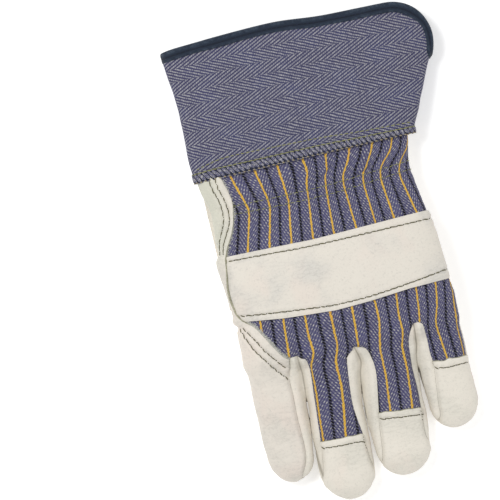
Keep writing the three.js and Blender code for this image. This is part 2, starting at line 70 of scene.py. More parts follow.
camera_data = bpy.data.cameras.new("camera")
camera_data.sensor_width = 36.0
camera_data.lens = camera_data.sensor_width * (CAMERA_HEIGHT - GLOVE_HEIGHT) / PICTURE_WIDTH
camera_data.clip_start = 0.01
camera = bpy.data.objects.new("camera", camera_data)
camera.location = to_model([*PICTURE_MIDDLE, CAMERA_HEIGHT])
camera.rotation_euler = (0.0, 0.0, PICTURE_TURN)
bpy.context.collection.objects.link(camera)
bpy.context.scene.camera = camera


def soft_light(name, place, size, power):
    """A square soft box that looks at the middle of the glove."""
    data = bpy.data.lights.new(name, "AREA")
    data.size = size
    data.energy = power
    light = bpy.data.objects.new(name, data)
    light.location = place
    light.rotation_euler = Vector(place).to_track_quat("Z", "Y").to_euler()
    bpy.context.collection.objects.link(light)


soft_light("light_above_left", (-0.45, 0.45, 1.15), 0.4, 8.4)
soft_light("light_right", (0.7, -0.6, 0.95), 0.8, 3.4)
world = bpy.data.worlds.new("pale_studio")
world.use_nodes = True
backdrop = world.node_tree.nodes["Background"]
backdrop.inputs["Color"].default_value = (1.0, 1.0, 1.0, 1.0)
backdrop.inputs["Strength"].default_value = 0.52
bpy.context.scene.world = world
bpy.context.scene.view_settings.view_transform = "Standard"
print("lens", round(camera_data.lens, 1), "mm")

# %% [markdown]
# A few sums come back in many cells below, so they are written once. Tables of points hold one
# place a row, which lets each sum run over a whole surface without a loop.

# %% Sums for tables of points
def hump(distance, width):
    """1 where a distance is zero, falling away softly on both sides."""
    return np.exp(-((distance / width) ** 2))


def unit(vectors):
    """The same directions, each one long."""
    return vectors / np.linalg.norm(vectors, axis=-1, keepdims=True)


def upright(vectors, facing, share=1.0):
    """Vectors with their part along the facing directions taken out, or a share of that part."""
    return vectors - facing * (vectors * facing).sum(axis=1, keepdims=True) * share


def lengths_along(line):
    """How far along a line each of its points lies."""
    return np.concatenate([[0], np.cumsum(np.linalg.norm(np.diff(line, axis=0), axis=1))])


def read_off(at, run, rows):
    """Each column of a table at new places along its run."""
    return np.stack([np.interp(at, run, column) for column in np.asarray(rows).T], axis=1)


def above_floor(points, lowest=FLOOR_GAP):
    """Lifts what would go through the floor, in place."""
    points[:, 2] = np.maximum(points[:, 2], lowest)
    return points


print("a hump at its middle and one width away:", hump(0.0, 1.0), round(hump(1.0, 1.0), 3))

# %% [markdown]
# The hand of the glove is one soft form: a body, four fingers and a fold of leather at the index
# side that turns under the palm. Each is a loft, given by a short table of cross-sections.
# The sections are superellipses, rounder at a low power and boxier at a high one.

# %% Cross-sections of the hand, in mm: along, left, right, bottom, top
BODY = [
    (6, -59.2, 58.8, 9.3, 24.2), (-4, -60.6, 57.8, 9.2, 24.9), (-10, -58.8, 56, 10.6, 25.6),
    (-19, -56.7, 55, 12.4, 26.8), (-36, -57.4, 57.2, 14.3, 31), (-48, -58.0, 59, 14.5, 34.2),
    (-62, -56.6, 60.2, 14.6, 36.2), (-76, -55.7, 61, 14.6, 36.8), (-88, -57.8, 61.7, 14, 35.8),
    (-103, -58.2, 60.8, 11.2, 32.6),
]
FOLD = [
    (-2, -59.4, -46, 9.4, 22), (-9, -58.4, -42.5, 3, 24), (-18, -56.6, -40.5, -0.4, 25.4),
    (-38, -57.5, -40, -0.8, 29.6), (-48, -57.8, -40, -0.8, 31.1), (-62, -56.4, -40, -0.8, 33.4),
    (-70, -56.0, -40.5, 0, 33), (-75, -55.8, -42.5, 3.2, 31), (-78, -55.2, -46, 8.5, 28),
]
INDEX = [
    (-92, -57.8, -28.5, 14.6, 33.4), (-104, -58.6, -28.7, 10.6, 31.2),
    (-114, -58.4, -29.2, 6.6, 28.4), (-136, -58.8, -30.5, 0.2, 22.4),
    (-148, -59.1, -31.6, -0.8, 20.2), (-158, -58.6, -33, -0.8, 18.6),
]
MIDDLE = [
    (-92, -28.4, 4.4, 14.6, 34.4), (-104, -28, 4.6, 10.6, 32), (-114, -28.6, 3.6, 6.8, 29.4),
    (-138, -29.9, -0.5, 0.2, 23.2), (-152, -31.2, -1, -0.8, 20.8), (-172, -32.2, -1.5, -0.8, 18.4),
]
RING = [
    (-92, 5, 38.2, 14.6, 33.8), (-104, 5.2, 37.8, 10.6, 31.4), (-114, 4.2, 35.7, 6.6, 28.6),
    (-124, 2.4, 33.6, 3.2, 25.8), (-138, 0.3, 33.1, 0.2, 22.6), (-152, -0.2, 32.8, -0.8, 20.2),
    (-168, 0.8, 30.9, -0.8, 18.2),
]
LITTLE = [
    (-92, 39.1, 60.8, 14.4, 31.4), (-104, 38.6, 61.2, 10.4, 29.2), (-114, 36.4, 61.8, 6.4, 26.2),
    (-124, 34.3, 61.9, 3, 23.2), (-143, 34.5, 62.2, -0.8, 18.8), (-150, 35.2, 62.3, -0.8, 17.6),
]


class Loft:
    """A form with rounded ends, given by cross-sections along y, as distances from its surface."""

    def __init__(self, table, power, end, root=6.0, soften=3.0):
        rows = np.array(table, dtype=float)[::-1]
        self.rows = np.arange(rows[0, 0], rows[-1, 0] + 0.25, 0.5)
        reach = np.arange(-24, 25) * 0.5
        bell = hump(reach, soften)
        bell /= bell.sum()
        self.columns = []
        for column in rows.T[1:]:
            dense = np.interp(self.rows, rows[:, 0], column)
            lead = 2 * dense[0] - dense[24:0:-1]
            tail = 2 * dense[-1] - dense[-2:-26:-1]
            self.columns.append(np.convolve(np.concatenate([lead, dense, tail]), bell, "valid"))
        self.power = power
        self.end = self.rows[0] - end
        self.root = root
        self.low = np.array([rows[:, 1].min(), end, rows[:, 3].min()])
        self.high = np.array([rows[:, 2].max(), rows[-1, 0] + root, rows[:, 4].max()])

    def distance(self, x, y, z):
        """Distance from the surface in mm, less than zero inside."""
        left, right, bottom, top = (np.interp(y, self.rows, c) for c in self.columns)
        half_width = (right - left) / 2
        half_height = (top - bottom) / 2
        across = np.abs(x - (left + right) / 2) / half_width
        up = np.abs(z - (bottom + top) / 2) / half_height
        ring = (across**self.power + up**self.power) ** (1 / self.power) + 1e-6
        slope_x = (across / ring) ** (self.power - 1) / half_width
        slope_z = (up / ring) ** (self.power - 1) / half_height
        beyond = np.clip(self.rows[0] - y, 0, None)
        behind = np.clip(y - self.rows[-1], 0, None)
        past = beyond / self.end + behind / self.root
        length = np.where(beyond > 0, self.end, self.root)
        far = np.sqrt(ring**2 + past**2)
        slope = np.sqrt((ring / far) ** 2 * (slope_x**2 + slope_z**2) + (past / far / length) ** 2)
        return (far - 1) / slope


body = Loft(BODY, 3.0, -110.5, root=30.0)
fold = Loft(FOLD, 2.4, -81.0)
index_finger = Loft(INDEX, 2.4, -173.2)
middle_finger = Loft(MIDDLE, 2.4, -190.2)
ring_finger = Loft(RING, 2.4, -184.2)
little_finger = Loft(LITTLE, 2.4, -164.8)
print("lofts for the hand: 6")

# %% [markdown]
# The lofts are poured together into one volume of distances, where a smooth minimum rounds the
# crotches between the fingers, and the surface is drawn out of the volume as a net of quads.
# A voxel remesh would do this too, but the net keeps the finger gaps and lies without steps.

# %% One soft skin from the lofts
def smooth_minimum(a, b, softness):
    """The lower of two distances, with a fillet of about that size where they meet."""
    overlap = np.clip(softness - np.abs(a - b), 0, None) / softness
    return np.minimum(a, b) - overlap**2 * softness / 4


def smooth_step(low, high, value):
    """0 below low, 1 above high, and an even S between them."""
    t = np.clip((value - low) / (high - low), 0, 1)
    return t * t * (3 - 2 * t)


def surface_net(volume, corner, step):
    """The points and quads of the surface where a grid of distances passes zero."""
    cells = np.array(volume.shape) - 1
    owners, places, quads = [], [], []
    for axis in range(3):
        near = np.moveaxis(volume, axis, 0)[:-1]
        far = np.moveaxis(volume, axis, 0)[1:]
        crossing = np.argwhere((near < 0) != (far < 0))
        near_value = near[tuple(crossing.T)]
        far_value = far[tuple(crossing.T)]
        edge = np.insert(crossing[:, 1:], axis, crossing[:, 0], axis=1)
        place = edge.astype(float)
        place[:, axis] += near_value / (near_value - far_value)
        u, v = (axis + 1) % 3, (axis + 2) % 3
        corners = []
        whole = np.ones(len(edge), dtype=bool)
        for shift_u, shift_v in ((-1, -1), (0, -1), (0, 0), (-1, 0)):
            cell = edge.copy()
            cell[:, u] += shift_u
            cell[:, v] += shift_v
            fits = ((cell >= 0) & (cell < cells)).all(axis=1)
            whole &= fits
            number = np.ravel_multi_index(np.clip(cell, 0, cells - 1).T, cells)
            corners.append(number)
            owners.append(number[fits])
            places.append(place[fits])
        quad = np.stack(corners, axis=1)
        quad[near_value > 0] = quad[near_value > 0][:, ::-1]
        quads.append(quad[whole])
    owners = np.concatenate(owners)
    places = np.concatenate(places)
    used, slot_of = np.unique(owners, return_inverse=True)
    count = np.bincount(slot_of)
    points = np.stack([np.bincount(slot_of, places[:, k]) / count for k in range(3)], axis=1)
    faces = np.searchsorted(used, np.concatenate(quads))
    return points * step + corner, faces


def triangles_of(quads):
    """Each quad as two triangles."""
    return np.concatenate([quads[:, [0, 1, 2]], quads[:, [0, 2, 3]]])


def normals_of(points, faces):
    """Unit normals at the points of a triangle mesh."""
    a, b, c = (points[faces[:, k]] for k in range(3))
    face_normal = np.cross(b - a, c - a)
    total = np.zeros_like(points)
    for k in range(3):
        for axis in range(3):
            total[:, axis] += np.bincount(faces[:, k], face_normal[:, axis], len(points))
    return total / (np.linalg.norm(total, axis=1, keepdims=True) + 1e-12)


def relax(points, quads, times):
    """Evens out the points of a net without shrinking it much."""
    ends = np.concatenate([quads[:, [k, (k + 1) % 4]] for k in range(4)])
    ends = np.concatenate([ends, ends[:, ::-1]])
    count = np.bincount(ends[:, 0], minlength=len(points))[:, None]
    for weight in (0.5, -0.52) * times:
        middle = np.stack(
            [np.bincount(ends[:, 0], points[ends[:, 1], k], len(points)) for k in range(3)], axis=1
        )
        points = points + weight * (middle / count - points)
    return points


def grid(low, high, step):
    """Three axes for a box of points, as arrays that combine into a volume."""
    x, y, z = (np.arange(a, b, step) for a, b in zip(low, high))
    return x[:, None, None], y[None, :, None], z[None, None, :]


def hand_distance(x, y, z):
    """Distance from the skin of the whole hand without the thumb."""
    fingers = index_finger.distance(x, y, z)
    narrow = 0.5 + 9.0 * smooth_step(-136, -106, y)
    for finger in (middle_finger, ring_finger, little_finger):
        fingers = smooth_minimum(fingers, finger.distance(x, y, z), narrow)
    palm_side = smooth_minimum(body.distance(x, y, z), fold.distance(x, y, z), 4.0)
    whole = smooth_minimum(palm_side, fingers, 6.0)
    return -smooth_minimum(-whole, z + 0 * whole, 1.6)


SKIN_STEP = 0.8
low_corner, high_corner = (-63.0, -193.0, -2.0), (66.0, 6.0, 40.0)
x, y, z = grid(low_corner, high_corner, SKIN_STEP)
skin_volume = np.empty((x.size, y.size, z.size), dtype=np.float32)
for start in range(0, y.size, 40):
    part = slice(start, start + 40)
    skin_volume[:, part] = hand_distance(x, y[:, part], z)
skin_points, skin_quads = surface_net(skin_volume, np.array(low_corner), SKIN_STEP)
skin_points = relax(skin_points, skin_quads, 3)
skin_faces = triangles_of(skin_quads)
print("skin of the hand:", len(skin_points), "points", skin_points.min(0), skin_points.max(0))

# %% [markdown]
# The glove is sewn from panels, and their seams are lines that were measured on its back.
# Panels could be modelled one by one, but then their edges would have to be matched by hand.
# Here one skin is cut along the seam lines instead, so that neighbours meet exactly, and the skin
# dips towards each seam before it is cut.

# %% Seam lines in the plan, in mm
WRAP_EDGE = [
    (-47.5, 12), (-47.5, -0.4), (-45.4, -10.5), (-44.7, -17.2), (-45.5, -22.6), (-48.6, -31.5),
    (-53.7, -41.9), (-55.7, -54.7), (-56.3, -65.3), (-54.8, -77), (-53.3, -80.2),
]
INDEX_LAP = [
    (-53.3, -80.2), (-48.4, -85), (-44.7, -91.1), (-38, -102.7), (-34.1, -106.3),
]
INDEX_BACK_SEAM = [
    (-34.1, -106.3), (-36.2, -115.9), (-36.1, -125.1), (-36.8, -138.5), (-36.6, -157.7),
    (-38.3, -164.9), (-41.6, -171.2), (-45, -178),
]
MIDDLE_LEFT_SEAM = [
    (-34.1, -106.3), (-31.3, -105.7), (-27.9, -107.6), (-25, -110.1), (-25.4, -122.5),
    (-27.3, -143.3), (-28.3, -154.7), (-31, -172.6), (-35, -181),
]
MIDDLE_RIGHT_SEAM = [
    (2, -181), (-2.3, -173.5), (-3.7, -155.5), (-5.5, -138.4), (-4.7, -126), (-3.3, -114.7),
    (-2.2, -112.5), (1.3, -109.4), (4.8, -109),
]
RING_LEFT_SEAM = [
    (4.8, -109), (7.4, -110.4), (9.1, -113.5), (10.4, -123.6), (7.9, -140.3), (5.4, -154.1),
    (3, -171), (-1, -179),
]
RING_RIGHT_SEAM = [
    (35, -177), (30.2, -166), (30.6, -152.7), (31.5, -141.2), (31.3, -122.7), (32.1, -112.5),
    (33.9, -107.1), (36.5, -103.6), (39, -102.8),
]
LITTLE_LEFT_SEAM = [
    (39, -102.8), (41, -104), (41.8, -107), (41.7, -120.5), (42.1, -128.8), (39.8, -150),
    (39, -157), (34, -164),
]
MIDDLE_CAP_EDGE = [(-28.9, -154.6), (-20, -155.4), (-12, -155.3), (-3.6, -156)]
RING_CAP_EDGE = [(6.6, -146.2), (15, -147.6), (23, -148.2), (30.9, -149.5)]
LITTLE_CAP_EDGE = [(41.9, -125.5), (49, -126.6), (56, -126.7), (70, -128)]
FINGER_BASE_SEAM = [
    (-29, -116), (-26.4, -111.5), (-23.3, -106.5), (-20.1, -101.2), (3.6, -100.6), (24.5, -102),
    (28.2, -104.5), (31, -109), (36, -115),
]
INDEX_MIDDLE_GAP = [
    (-29, -116), (-30.2, -137), (-31.4, -150), (-32.5, -160), (-34, -175), (-36, -196),
]
MIDDLE_RING_GAP = [
    (1.3, -100.8), (1.3, -106), (3.9, -116), (2.1, -124), (0, -138), (-0.5, -152), (-0.3, -196),
]
RING_LITTLE_GAP = [(36, -115), (34, -124), (33.8, -138), (34, -150), (34, -196)]
WRAP_STITCHES = [
    [(-54.4, -0.8), (-53.3, -6.6), (-51.4, -13.6), (-50.9, -19.8), (-51.8, -25.6), (-55.1, -32.3),
     (-56.8, -36.9), (-57.7, -42)],
    [(-51, -0.1), (-50.2, -6.4), (-48.4, -13.3), (-47.8, -20.5), (-48.9, -26.3), (-51.9, -32.2),
     (-54.5, -37.1), (-56, -42.5)],
]
LAP_STITCHES = [
    [(-55.1, -83.8), (-51.3, -89.5), (-46.4, -98.1), (-41.2, -105.3), (-37.2, -110.4)],
    [(-56.8, -83), (-54.7, -89.6), (-51.4, -97.3), (-46.3, -105), (-42.5, -110.6),
     (-37.5, -116.4)],
]
STRAP_OUTLINE = [
    (-57, -43.8), (-7.8, -45.6), (70, -44.4), (70, -83.2), (39, -83.6), (17.2, -85.3),
    (-3.3, -85.9), (-31.6, -83.6), (-56, -80.1), (-58, -76.4), (-58.5, -66), (-58, -56),
]
STRAP_STITCHES = [
    [(-54.6, -46.4), (-30, -47.6), (-8.5, -48.7), (30, -49), (61.5, -49.1)],
    [(-54.8, -77.2), (-39.2, -79.2), (-22.4, -81.1), (-2.6, -83), (17.8, -82.8), (39.6, -80.8),
     (61.5, -78.2)],
]


def smooth_line(points, step=1.5):
    """A smooth curve through the points, as an array of points about a step apart."""
    points = np.array(points, dtype=float)
    before = 2 * points[0] - points[1]
    after = 2 * points[-1] - points[-2]
    held = np.vstack([before, points, after])
    made = []
    for k in range(1, len(held) - 2):
        p0, p1, p2, p3 = held[k - 1 : k + 3]
        count = max(1, int(np.ceil(np.linalg.norm(p2 - p1) / step)))
        for t in np.arange(count) / count:
            made.append(
                0.5 * (2 * p1 + (p2 - p0) * t + (2 * p0 - 5 * p1 + 4 * p2 - p3) * t**2
                       + (3 * p1 - p0 - 3 * p2 + p3) * t**3)
            )
    return np.vstack([made, points[-1]])


def line_distance(line, x, y):
    """Distance in the plan from points to a line, 20 mm at most."""
    best = np.full(x.shape, 20.0)
    near = (x > line[:, 0].min() - 20) & (x < line[:, 0].max() + 20)
    near &= (y > line[:, 1].min() - 20) & (y < line[:, 1].max() + 20)
    px, py, low = x[near], y[near], best[near]
    for (ax, ay), (bx, by) in zip(line[:-1], line[1:]):
        ux, uy = bx - ax, by - ay
        t = np.clip(((px - ax) * ux + (py - ay) * uy) / (ux * ux + uy * uy + 1e-12), 0, 1)
        low = np.minimum(low, np.hypot(px - ax - t * ux, py - ay - t * uy))
    best[near] = low
    return best


def nearest_line(lines, x, y):
    """Distance in the plan to the nearest of several lines."""
    return np.min([line_distance(line, x, y) for line in lines], axis=0)


def outline_distance(outline, x, y):
    """Distance to a closed outline in the plan, less than zero inside it."""
    closed = np.vstack([outline, outline[:1]])
    inside = np.zeros(x.shape, dtype=bool)
    for (ax, ay), (bx, by) in zip(closed[:-1], closed[1:]):
        if ay != by:
            inside ^= ((ay > y) != (by > y)) & (x < (bx - ax) * (y - ay) / (by - ay) + ax)
    return np.where(inside, -1.0, 1.0) * line_distance(closed, x, y)


def torn(line, seed, amount=0.5):
    """The same line with the small unevenness of an edge that was cut by hand."""
    random = np.random.default_rng(seed)
    made = smooth_line(line, 1.2)
    made[:, 1] += np.convolve(random.normal(size=len(made) + 2), [0.3, 0.4, 0.3], "valid") * amount
    return made


wrap_edge, index_lap, index_back = map(smooth_line, (WRAP_EDGE, INDEX_LAP, INDEX_BACK_SEAM))
middle_left, middle_right = map(smooth_line, (MIDDLE_LEFT_SEAM, MIDDLE_RIGHT_SEAM))
ring_left, ring_right, little_left = map(
    smooth_line, (RING_LEFT_SEAM, RING_RIGHT_SEAM, LITTLE_LEFT_SEAM)
)
middle_cap_edge, ring_cap_edge = torn(MIDDLE_CAP_EDGE, 1), torn(RING_CAP_EDGE, 2)
little_cap_edge = torn(LITTLE_CAP_EDGE, 3)
CAP_EDGES = {
    "middle_cap": middle_cap_edge, "ring_cap": ring_cap_edge, "little_cap": little_cap_edge,
}
finger_base = smooth_line(FINGER_BASE_SEAM)
index_middle_gap, middle_ring_gap, ring_little_gap = map(
    smooth_line, (INDEX_MIDDLE_GAP, MIDDLE_RING_GAP, RING_LITTLE_GAP)
)


def above(line, y):
    """The part of a line on the wrist side of y."""
    return line[line[:, 1] > y]


def below(line, y):
    """The part of a line on the fingertip side of y."""
    return line[line[:, 1] < y]


def cloth_outline(middle_end, ring_end, little_end):
    """The outline of the ticking, with the given edges at the ends of its fingers."""
    return np.vstack([
        wrap_edge, index_lap, above(middle_left, -155), middle_end, above(middle_right, -155.5),
        above(ring_left, -146), ring_end, above(ring_right, -149), above(little_left, -125.4),
        little_end, (75, 12),
    ])


under_middle, under_ring, under_little = (
    edge[[0, -1]] - [0, 2] for edge in CAP_EDGES.values()
)
under_little[1] = (75, -130)
whole_cloth = cloth_outline(under_middle, under_ring, under_little)
seen_cloth = cloth_outline(
    middle_cap_edge, ring_cap_edge, np.vstack([little_cap_edge, (75, -128)])
)
OUTLINES_ABOVE = {
    "fourchette_index_middle": np.vstack([
        index_back, [(-44, -190), (-38, -190)], middle_left[::-1],
    ]),
    "fourchette_middle_ring": np.vstack([middle_right, ring_left, [(-1, -195), (2, -195)]]),
    "fourchette_ring_little": np.vstack([ring_right, little_left, [(34, -195), (35, -195)]]),
    "middle_cap": np.vstack([
        middle_cap_edge, below(middle_right, -156)[::-1], [(2, -196), (-36, -196)],
        below(middle_left, -155)[::-1],
    ]),
    "ring_cap": np.vstack([
        ring_cap_edge, below(ring_right, -149.6)[::-1], [(35, -196), (-1, -196)],
        below(ring_left, -146.4)[::-1],
    ]),
    "little_cap": np.vstack([
        little_cap_edge, [(75, -128), (75, -180), (34, -180)], below(little_left, -125.6)[::-1],
    ]),
}
OUTLINES_BELOW = {
    "middle_front": np.vstack([
        above(finger_base[finger_base[:, 0] < 1.3], -117), middle_ring_gap,
        index_middle_gap[::-1],
    ]),
    "ring_front": np.vstack([
        finger_base[finger_base[:, 0] > 1.3], ring_little_gap, middle_ring_gap[::-1],
    ]),
}
print("panels above:", len(OUTLINES_ABOVE) + 1, "panels below:", len(OUTLINES_BELOW) + 1)

# %% [markdown]
# Cloth and leather are never smooth on a glove: the elastic pulls the back in, leather creases
# across the fingers, and every seam lies in a small valley with soft ridges beside it.
# These forms are real geometry here. They move the points of the skin along its normals.

# %% Seam valleys, gathers and creases
STRIPE_ROWS = [0, -8, -15, -22, -45.5, -84, -97, -106, -113, -127, -140, -156]
STRIPE_PLACES = [
    (-56, -42.6, -28.8, -16.0, -1.8, 12.0, 25.4, 38.7, 49.6, 61, 72),
    (-53.5, -40.4, -27.2, -15.3, -0.2, 9.7, 22.6, 35, 46.6, 58.5, 69),
    (-51, -38.2, -25.6, -14.7, -2.6, 8, 17.6, 29.3, 39, 50.2, 60),
    (-48, -36.4, -24.7, -14.2, -3.2, 7.2, 17.2, 27.9, 37.6, 48.2, 58.8),
    (-55, -43.0, -30.7, -18.3, -6.1, 5.7, 18.4, 29.3, 39.9, 52.8, 64),
    (-57, -45.0, -32.2, -20.3, -6.3, 5.9, 18.8, 31.2, 42.5, 53.7, 63),
    (-58, -46, -33.2, -21, -6.5, 5.2, 18.9, 29.7, 41.2, 51.3, 60.9),
    (-59, -47, -34, -19.9, -6.6, 4.6, 16.8, 30.1, 39.5, 48.3, 60.4),
    (-60, -48, -35, -23.9, -9.7, 3.9, 15.5, 27.5, 38.7, 49.1, 60.4),
    (-60, -48, -36, -23.8, -9.6, 3.4, 15.5, 27.7, 38.7, 50.6, 60.9),
    (-61, -49, -37, -25.3, -11.2, 2.1, 14.1, 26.6, 38, 51, 61.5),
    (-62, -50, -38, -26.3, -14, 0, 12.5, 24.5, 37, 51.5, 62),
]
STRIPE_PITCH = 12.4
ELASTIC_PLACE = -19.7
TUCKS = [((3.4, -15.6), (14.3, -7.8), 1.2), ((22.4, -17.6), (34.5, -13.4), 0.9)]  # from, to, slip


def seam_height(y):
    """Height of the seam that joins upper and lower panels along the sides."""
    rows = BODY[1:] + MIDDLE[2:]
    heights = [(row[3] + row[4]) / 2 for row in rows]
    return np.interp(y, [row[0] for row in rows][::-1], heights[::-1])


def tuck_sides(tuck, x, y):
    """How far across a small tuck a place lies, in mm, and how near to its middle, from 0 to 1."""
    (x0, y0), (x1, y1), _ = tuck
    length = math.hypot(x1 - x0, y1 - y0)
    ahead = ((x - x0) * (x1 - x0) + (y - y0) * (y1 - y0)) / length
    across = ((y - y0) * (x1 - x0) - (x - x0) * (y1 - y0)) / length
    near = smooth_step(-2.5, 2.5, ahead) * smooth_step(length + 2.5, length - 2.5, ahead)
    return across, near


def stripe_number(x, y):
    """Which stripe of the ticking a place lies at: whole numbers are gold, halves are black."""
    heights = np.arange(STRIPE_ROWS[-1], 9.0)
    bell = hump(np.arange(-8, 9), 3.0)
    lines = []
    for column in np.array(STRIPE_PLACES[::-1], dtype=float).T:
        dense = np.interp(heights, STRIPE_ROWS[::-1], column)
        dense = np.convolve(np.pad(dense, 8, mode="edge"), bell / bell.sum(), "valid")
        lines.append(np.interp(y, heights, dense))
    lines = np.stack(lines, axis=1)
    for tuck in TUCKS:
        across, near = tuck_sides(tuck, x, y)
        fading = np.exp(-np.clip(across, 0, None) / 4)
        x = x - tuck[2] * near * smooth_step(-0.5, 0.3, across) * fading
    left = np.clip((lines < x[:, None]).sum(axis=1) - 1, 0, lines.shape[1] - 2)
    pick = np.arange(len(x))
    low, high = lines[pick, left], lines[pick, left + 1]
    return left - 1 + (x - low) / (high - low)


def ripple(points, size, seed, stretch=(1, 1, 1)):
    """A soft uneven wave, from about -1 to 1, that is the same each run."""
    random = np.random.default_rng(seed)
    total = np.zeros(len(points))
    for _ in range(18):
        wave = unit(random.normal(size=3)) * 2 * math.pi / (size * random.uniform(0.7, 1.6))
        total += np.cos((points * stretch) @ wave + random.uniform(0, 2 * math.pi))
    return total / 6


def valley(distance, depth, width):
    """A dip along a line, with a low ridge on each side of it."""
    return -depth * hump(distance, width) + 0.3 * depth * hump(distance - 2.6 * width, 1.4 * width)


plan_x, plan_y, plan_z = skin_points.T
over_seam = plan_z - seam_height(plan_y)
upper = over_seam > 0
skin_normals = normals_of(skin_points, skin_faces)
seams_above = [index_back, middle_left, middle_right, ring_left, ring_right, little_left]
seam_gap_above = nearest_line(seams_above, plan_x, plan_y)
seam_gap_below = nearest_line((finger_base, middle_ring_gap[:12]), plan_x, plan_y)
lap_gap = line_distance(np.vstack([wrap_edge, index_lap]), plan_x, plan_y)
stripes = stripe_number(plan_x, plan_y)
side_drop = np.clip(seam_height(plan_y) + 5 - plan_z, 0, None) * smooth_step(30, 48, plan_x)
on_back = smooth_step(2.0, 6.0, over_seam) * smooth_step(-70, -60, plan_y)

lift = np.where(upper, valley(seam_gap_above, 0.9, 1.1), valley(seam_gap_below, 0.8, 1.2))
side_seam = np.where(plan_y > -100, smooth_step(40, 45, plan_x), smooth_step(-44, -38, plan_x))
lift += side_seam * valley(np.abs(over_seam), 0.8, 1.1)
elastic = hump(plan_y - ELASTIC_PLACE, 3.2)
gather = hump(plan_y - ELASTIC_PLACE, 11)
lift += on_back * (-0.9 * elastic + 0.45 * gather * np.cos(4 * math.pi * stripes + 0.6))
lift += on_back * 0.55 * ripple(skin_points, 15, 4, (1, 0.5, 1))
for tuck in TUCKS:
    across, near = tuck_sides(tuck, plan_x, plan_y)
    lift += on_back * near * (1.3 * hump(across - 2.0, 1.8) - 0.9 * hump(across + 0.4, 0.8))
leathery = 1 - on_back
lift += leathery * 0.3 * ripple(skin_points, 24, 5)
crease = ripple(skin_points, 13, 6, (0.8, 1.3, 1))
lift -= 0.16 * leathery * hump(crease, 0.2)
gap_lines = [above(line, -150) for line in (index_middle_gap, middle_ring_gap, ring_little_gap)]
gap_lines[0] = np.vstack([[(-29.6, -106.5)], gap_lines[0]])
gap_lines[2] = np.vstack([[(36.8, -103.5)], gap_lines[2]])
fold_sides = np.stack([
    plan_x - np.interp(plan_y, line[::-1, 1], line[::-1, 0]) for line in gap_lines
])
fold_side = np.take_along_axis(fold_sides, np.abs(fold_sides).argmin(axis=0)[None], axis=0)[0]
crotch = smooth_step(-100, -104, plan_y) * smooth_step(-130, -110, plan_y)
lift += np.where(upper, crotch * valley(np.abs(fold_side), 1.4, 0.9), 0)
strap_gap = outline_distance(np.array(STRAP_OUTLINE), plan_x, plan_y)
strap_gap = np.where(upper, strap_gap, 20.0)
under_strap = 1 - smooth_step(-3.0, 0.5, strap_gap)
lift = lift * (1 - under_strap) - 0.4 * under_strap
touching = smooth_step(0.2, 2.5, plan_z)
lift *= touching
skin_moved = above_floor(skin_points + skin_normals * lift[:, None])
print("skin moved from", lift.min().round(2), "to", lift.max().round(2), "mm")

# %% [markdown]
# A panel is a piece of the skin with a thickness and a cut edge. The cut runs through the
# triangles exactly where a distance passes zero, so edges are clean at any mesh size.
# A boolean could cut them too, but it would lose the distances that the finishes use later.

# %% Cut panels and give them thickness
def clip(data, faces, value):
    """The part of a triangle mesh where value is below zero, with new points where it is zero."""
    inside = value < 0
    number = inside[faces].sum(axis=1)
    rows = np.arange(3)
    one = faces[number == 1]
    one = one[np.arange(len(one))[:, None], (inside[one].argmax(axis=1)[:, None] + rows) % 3]
    two = faces[number == 2]
    two = two[np.arange(len(two))[:, None], ((~inside[two]).argmax(axis=1)[:, None] + rows) % 3]
    edges = np.concatenate([one[:, [0, 1]], one[:, [0, 2]], two[:, [0, 1]], two[:, [0, 2]]])
    ordered = np.sort(edges, axis=1)
    unique, where = np.unique(ordered, axis=0, return_inverse=True)
    where = where.ravel()
    start, end = unique[:, 0], unique[:, 1]
    t = (value[start] / (value[start] - value[end]))[:, None]
    new_data = data[start] + t * (data[end] - data[start])
    new = where + len(data)
    n, m = len(one), len(two)
    one_b, one_c = new[:n], new[n : 2 * n]
    two_b, two_c = new[2 * n : 2 * n + m], new[2 * n + m :]
    kept = np.concatenate([
        faces[number == 3],
        np.stack([one[:, 0], one_b, one_c], axis=1),
        np.stack([two[:, 1], two[:, 2], two_c], axis=1),
        np.stack([two[:, 1], two_c, two_b], axis=1),
    ])
    everything = np.concatenate([data, new_data])
    used, compact = np.unique(kept, return_inverse=True)
    return everything[used], compact.reshape(kept.shape)


def open_edges(faces):
    """The directed edges that only one face has."""
    edges = np.concatenate([faces[:, [0, 1]], faces[:, [1, 2]], faces[:, [2, 0]]])
    key = edges.min(axis=1) * (faces.max() + 1) + edges.max(axis=1)
    _, first, count = np.unique(key, return_index=True, return_counts=True)
    return edges[first[count == 1]]


def solid_sheet(points, normals, faces, thickness, flare=0.0):
    """A closed sheet under the given surface. Returns points, faces, rim faces and rim edges."""
    edges = open_edges(faces)
    inner = points - normals * thickness
    if flare:
        along = points[edges[:, 1]] - points[edges[:, 0]]
        outward = np.cross(along, normals[edges[:, 0]])
        total = np.zeros_like(points)
        for column in range(2):
            np.add.at(total, edges[:, column], outward)
        length = np.linalg.norm(total, axis=1, keepdims=True)
        inner = inner + flare * total / np.maximum(length, 1e-9)
    count = len(points)
    a, b = edges.T
    rim = np.concatenate([
        np.stack([b, a, a + count], axis=1), np.stack([b, a + count, b + count], axis=1),
    ])
    both = np.concatenate([faces, faces[:, ::-1] + count])
    return np.concatenate([points, inner]), both, rim, edges


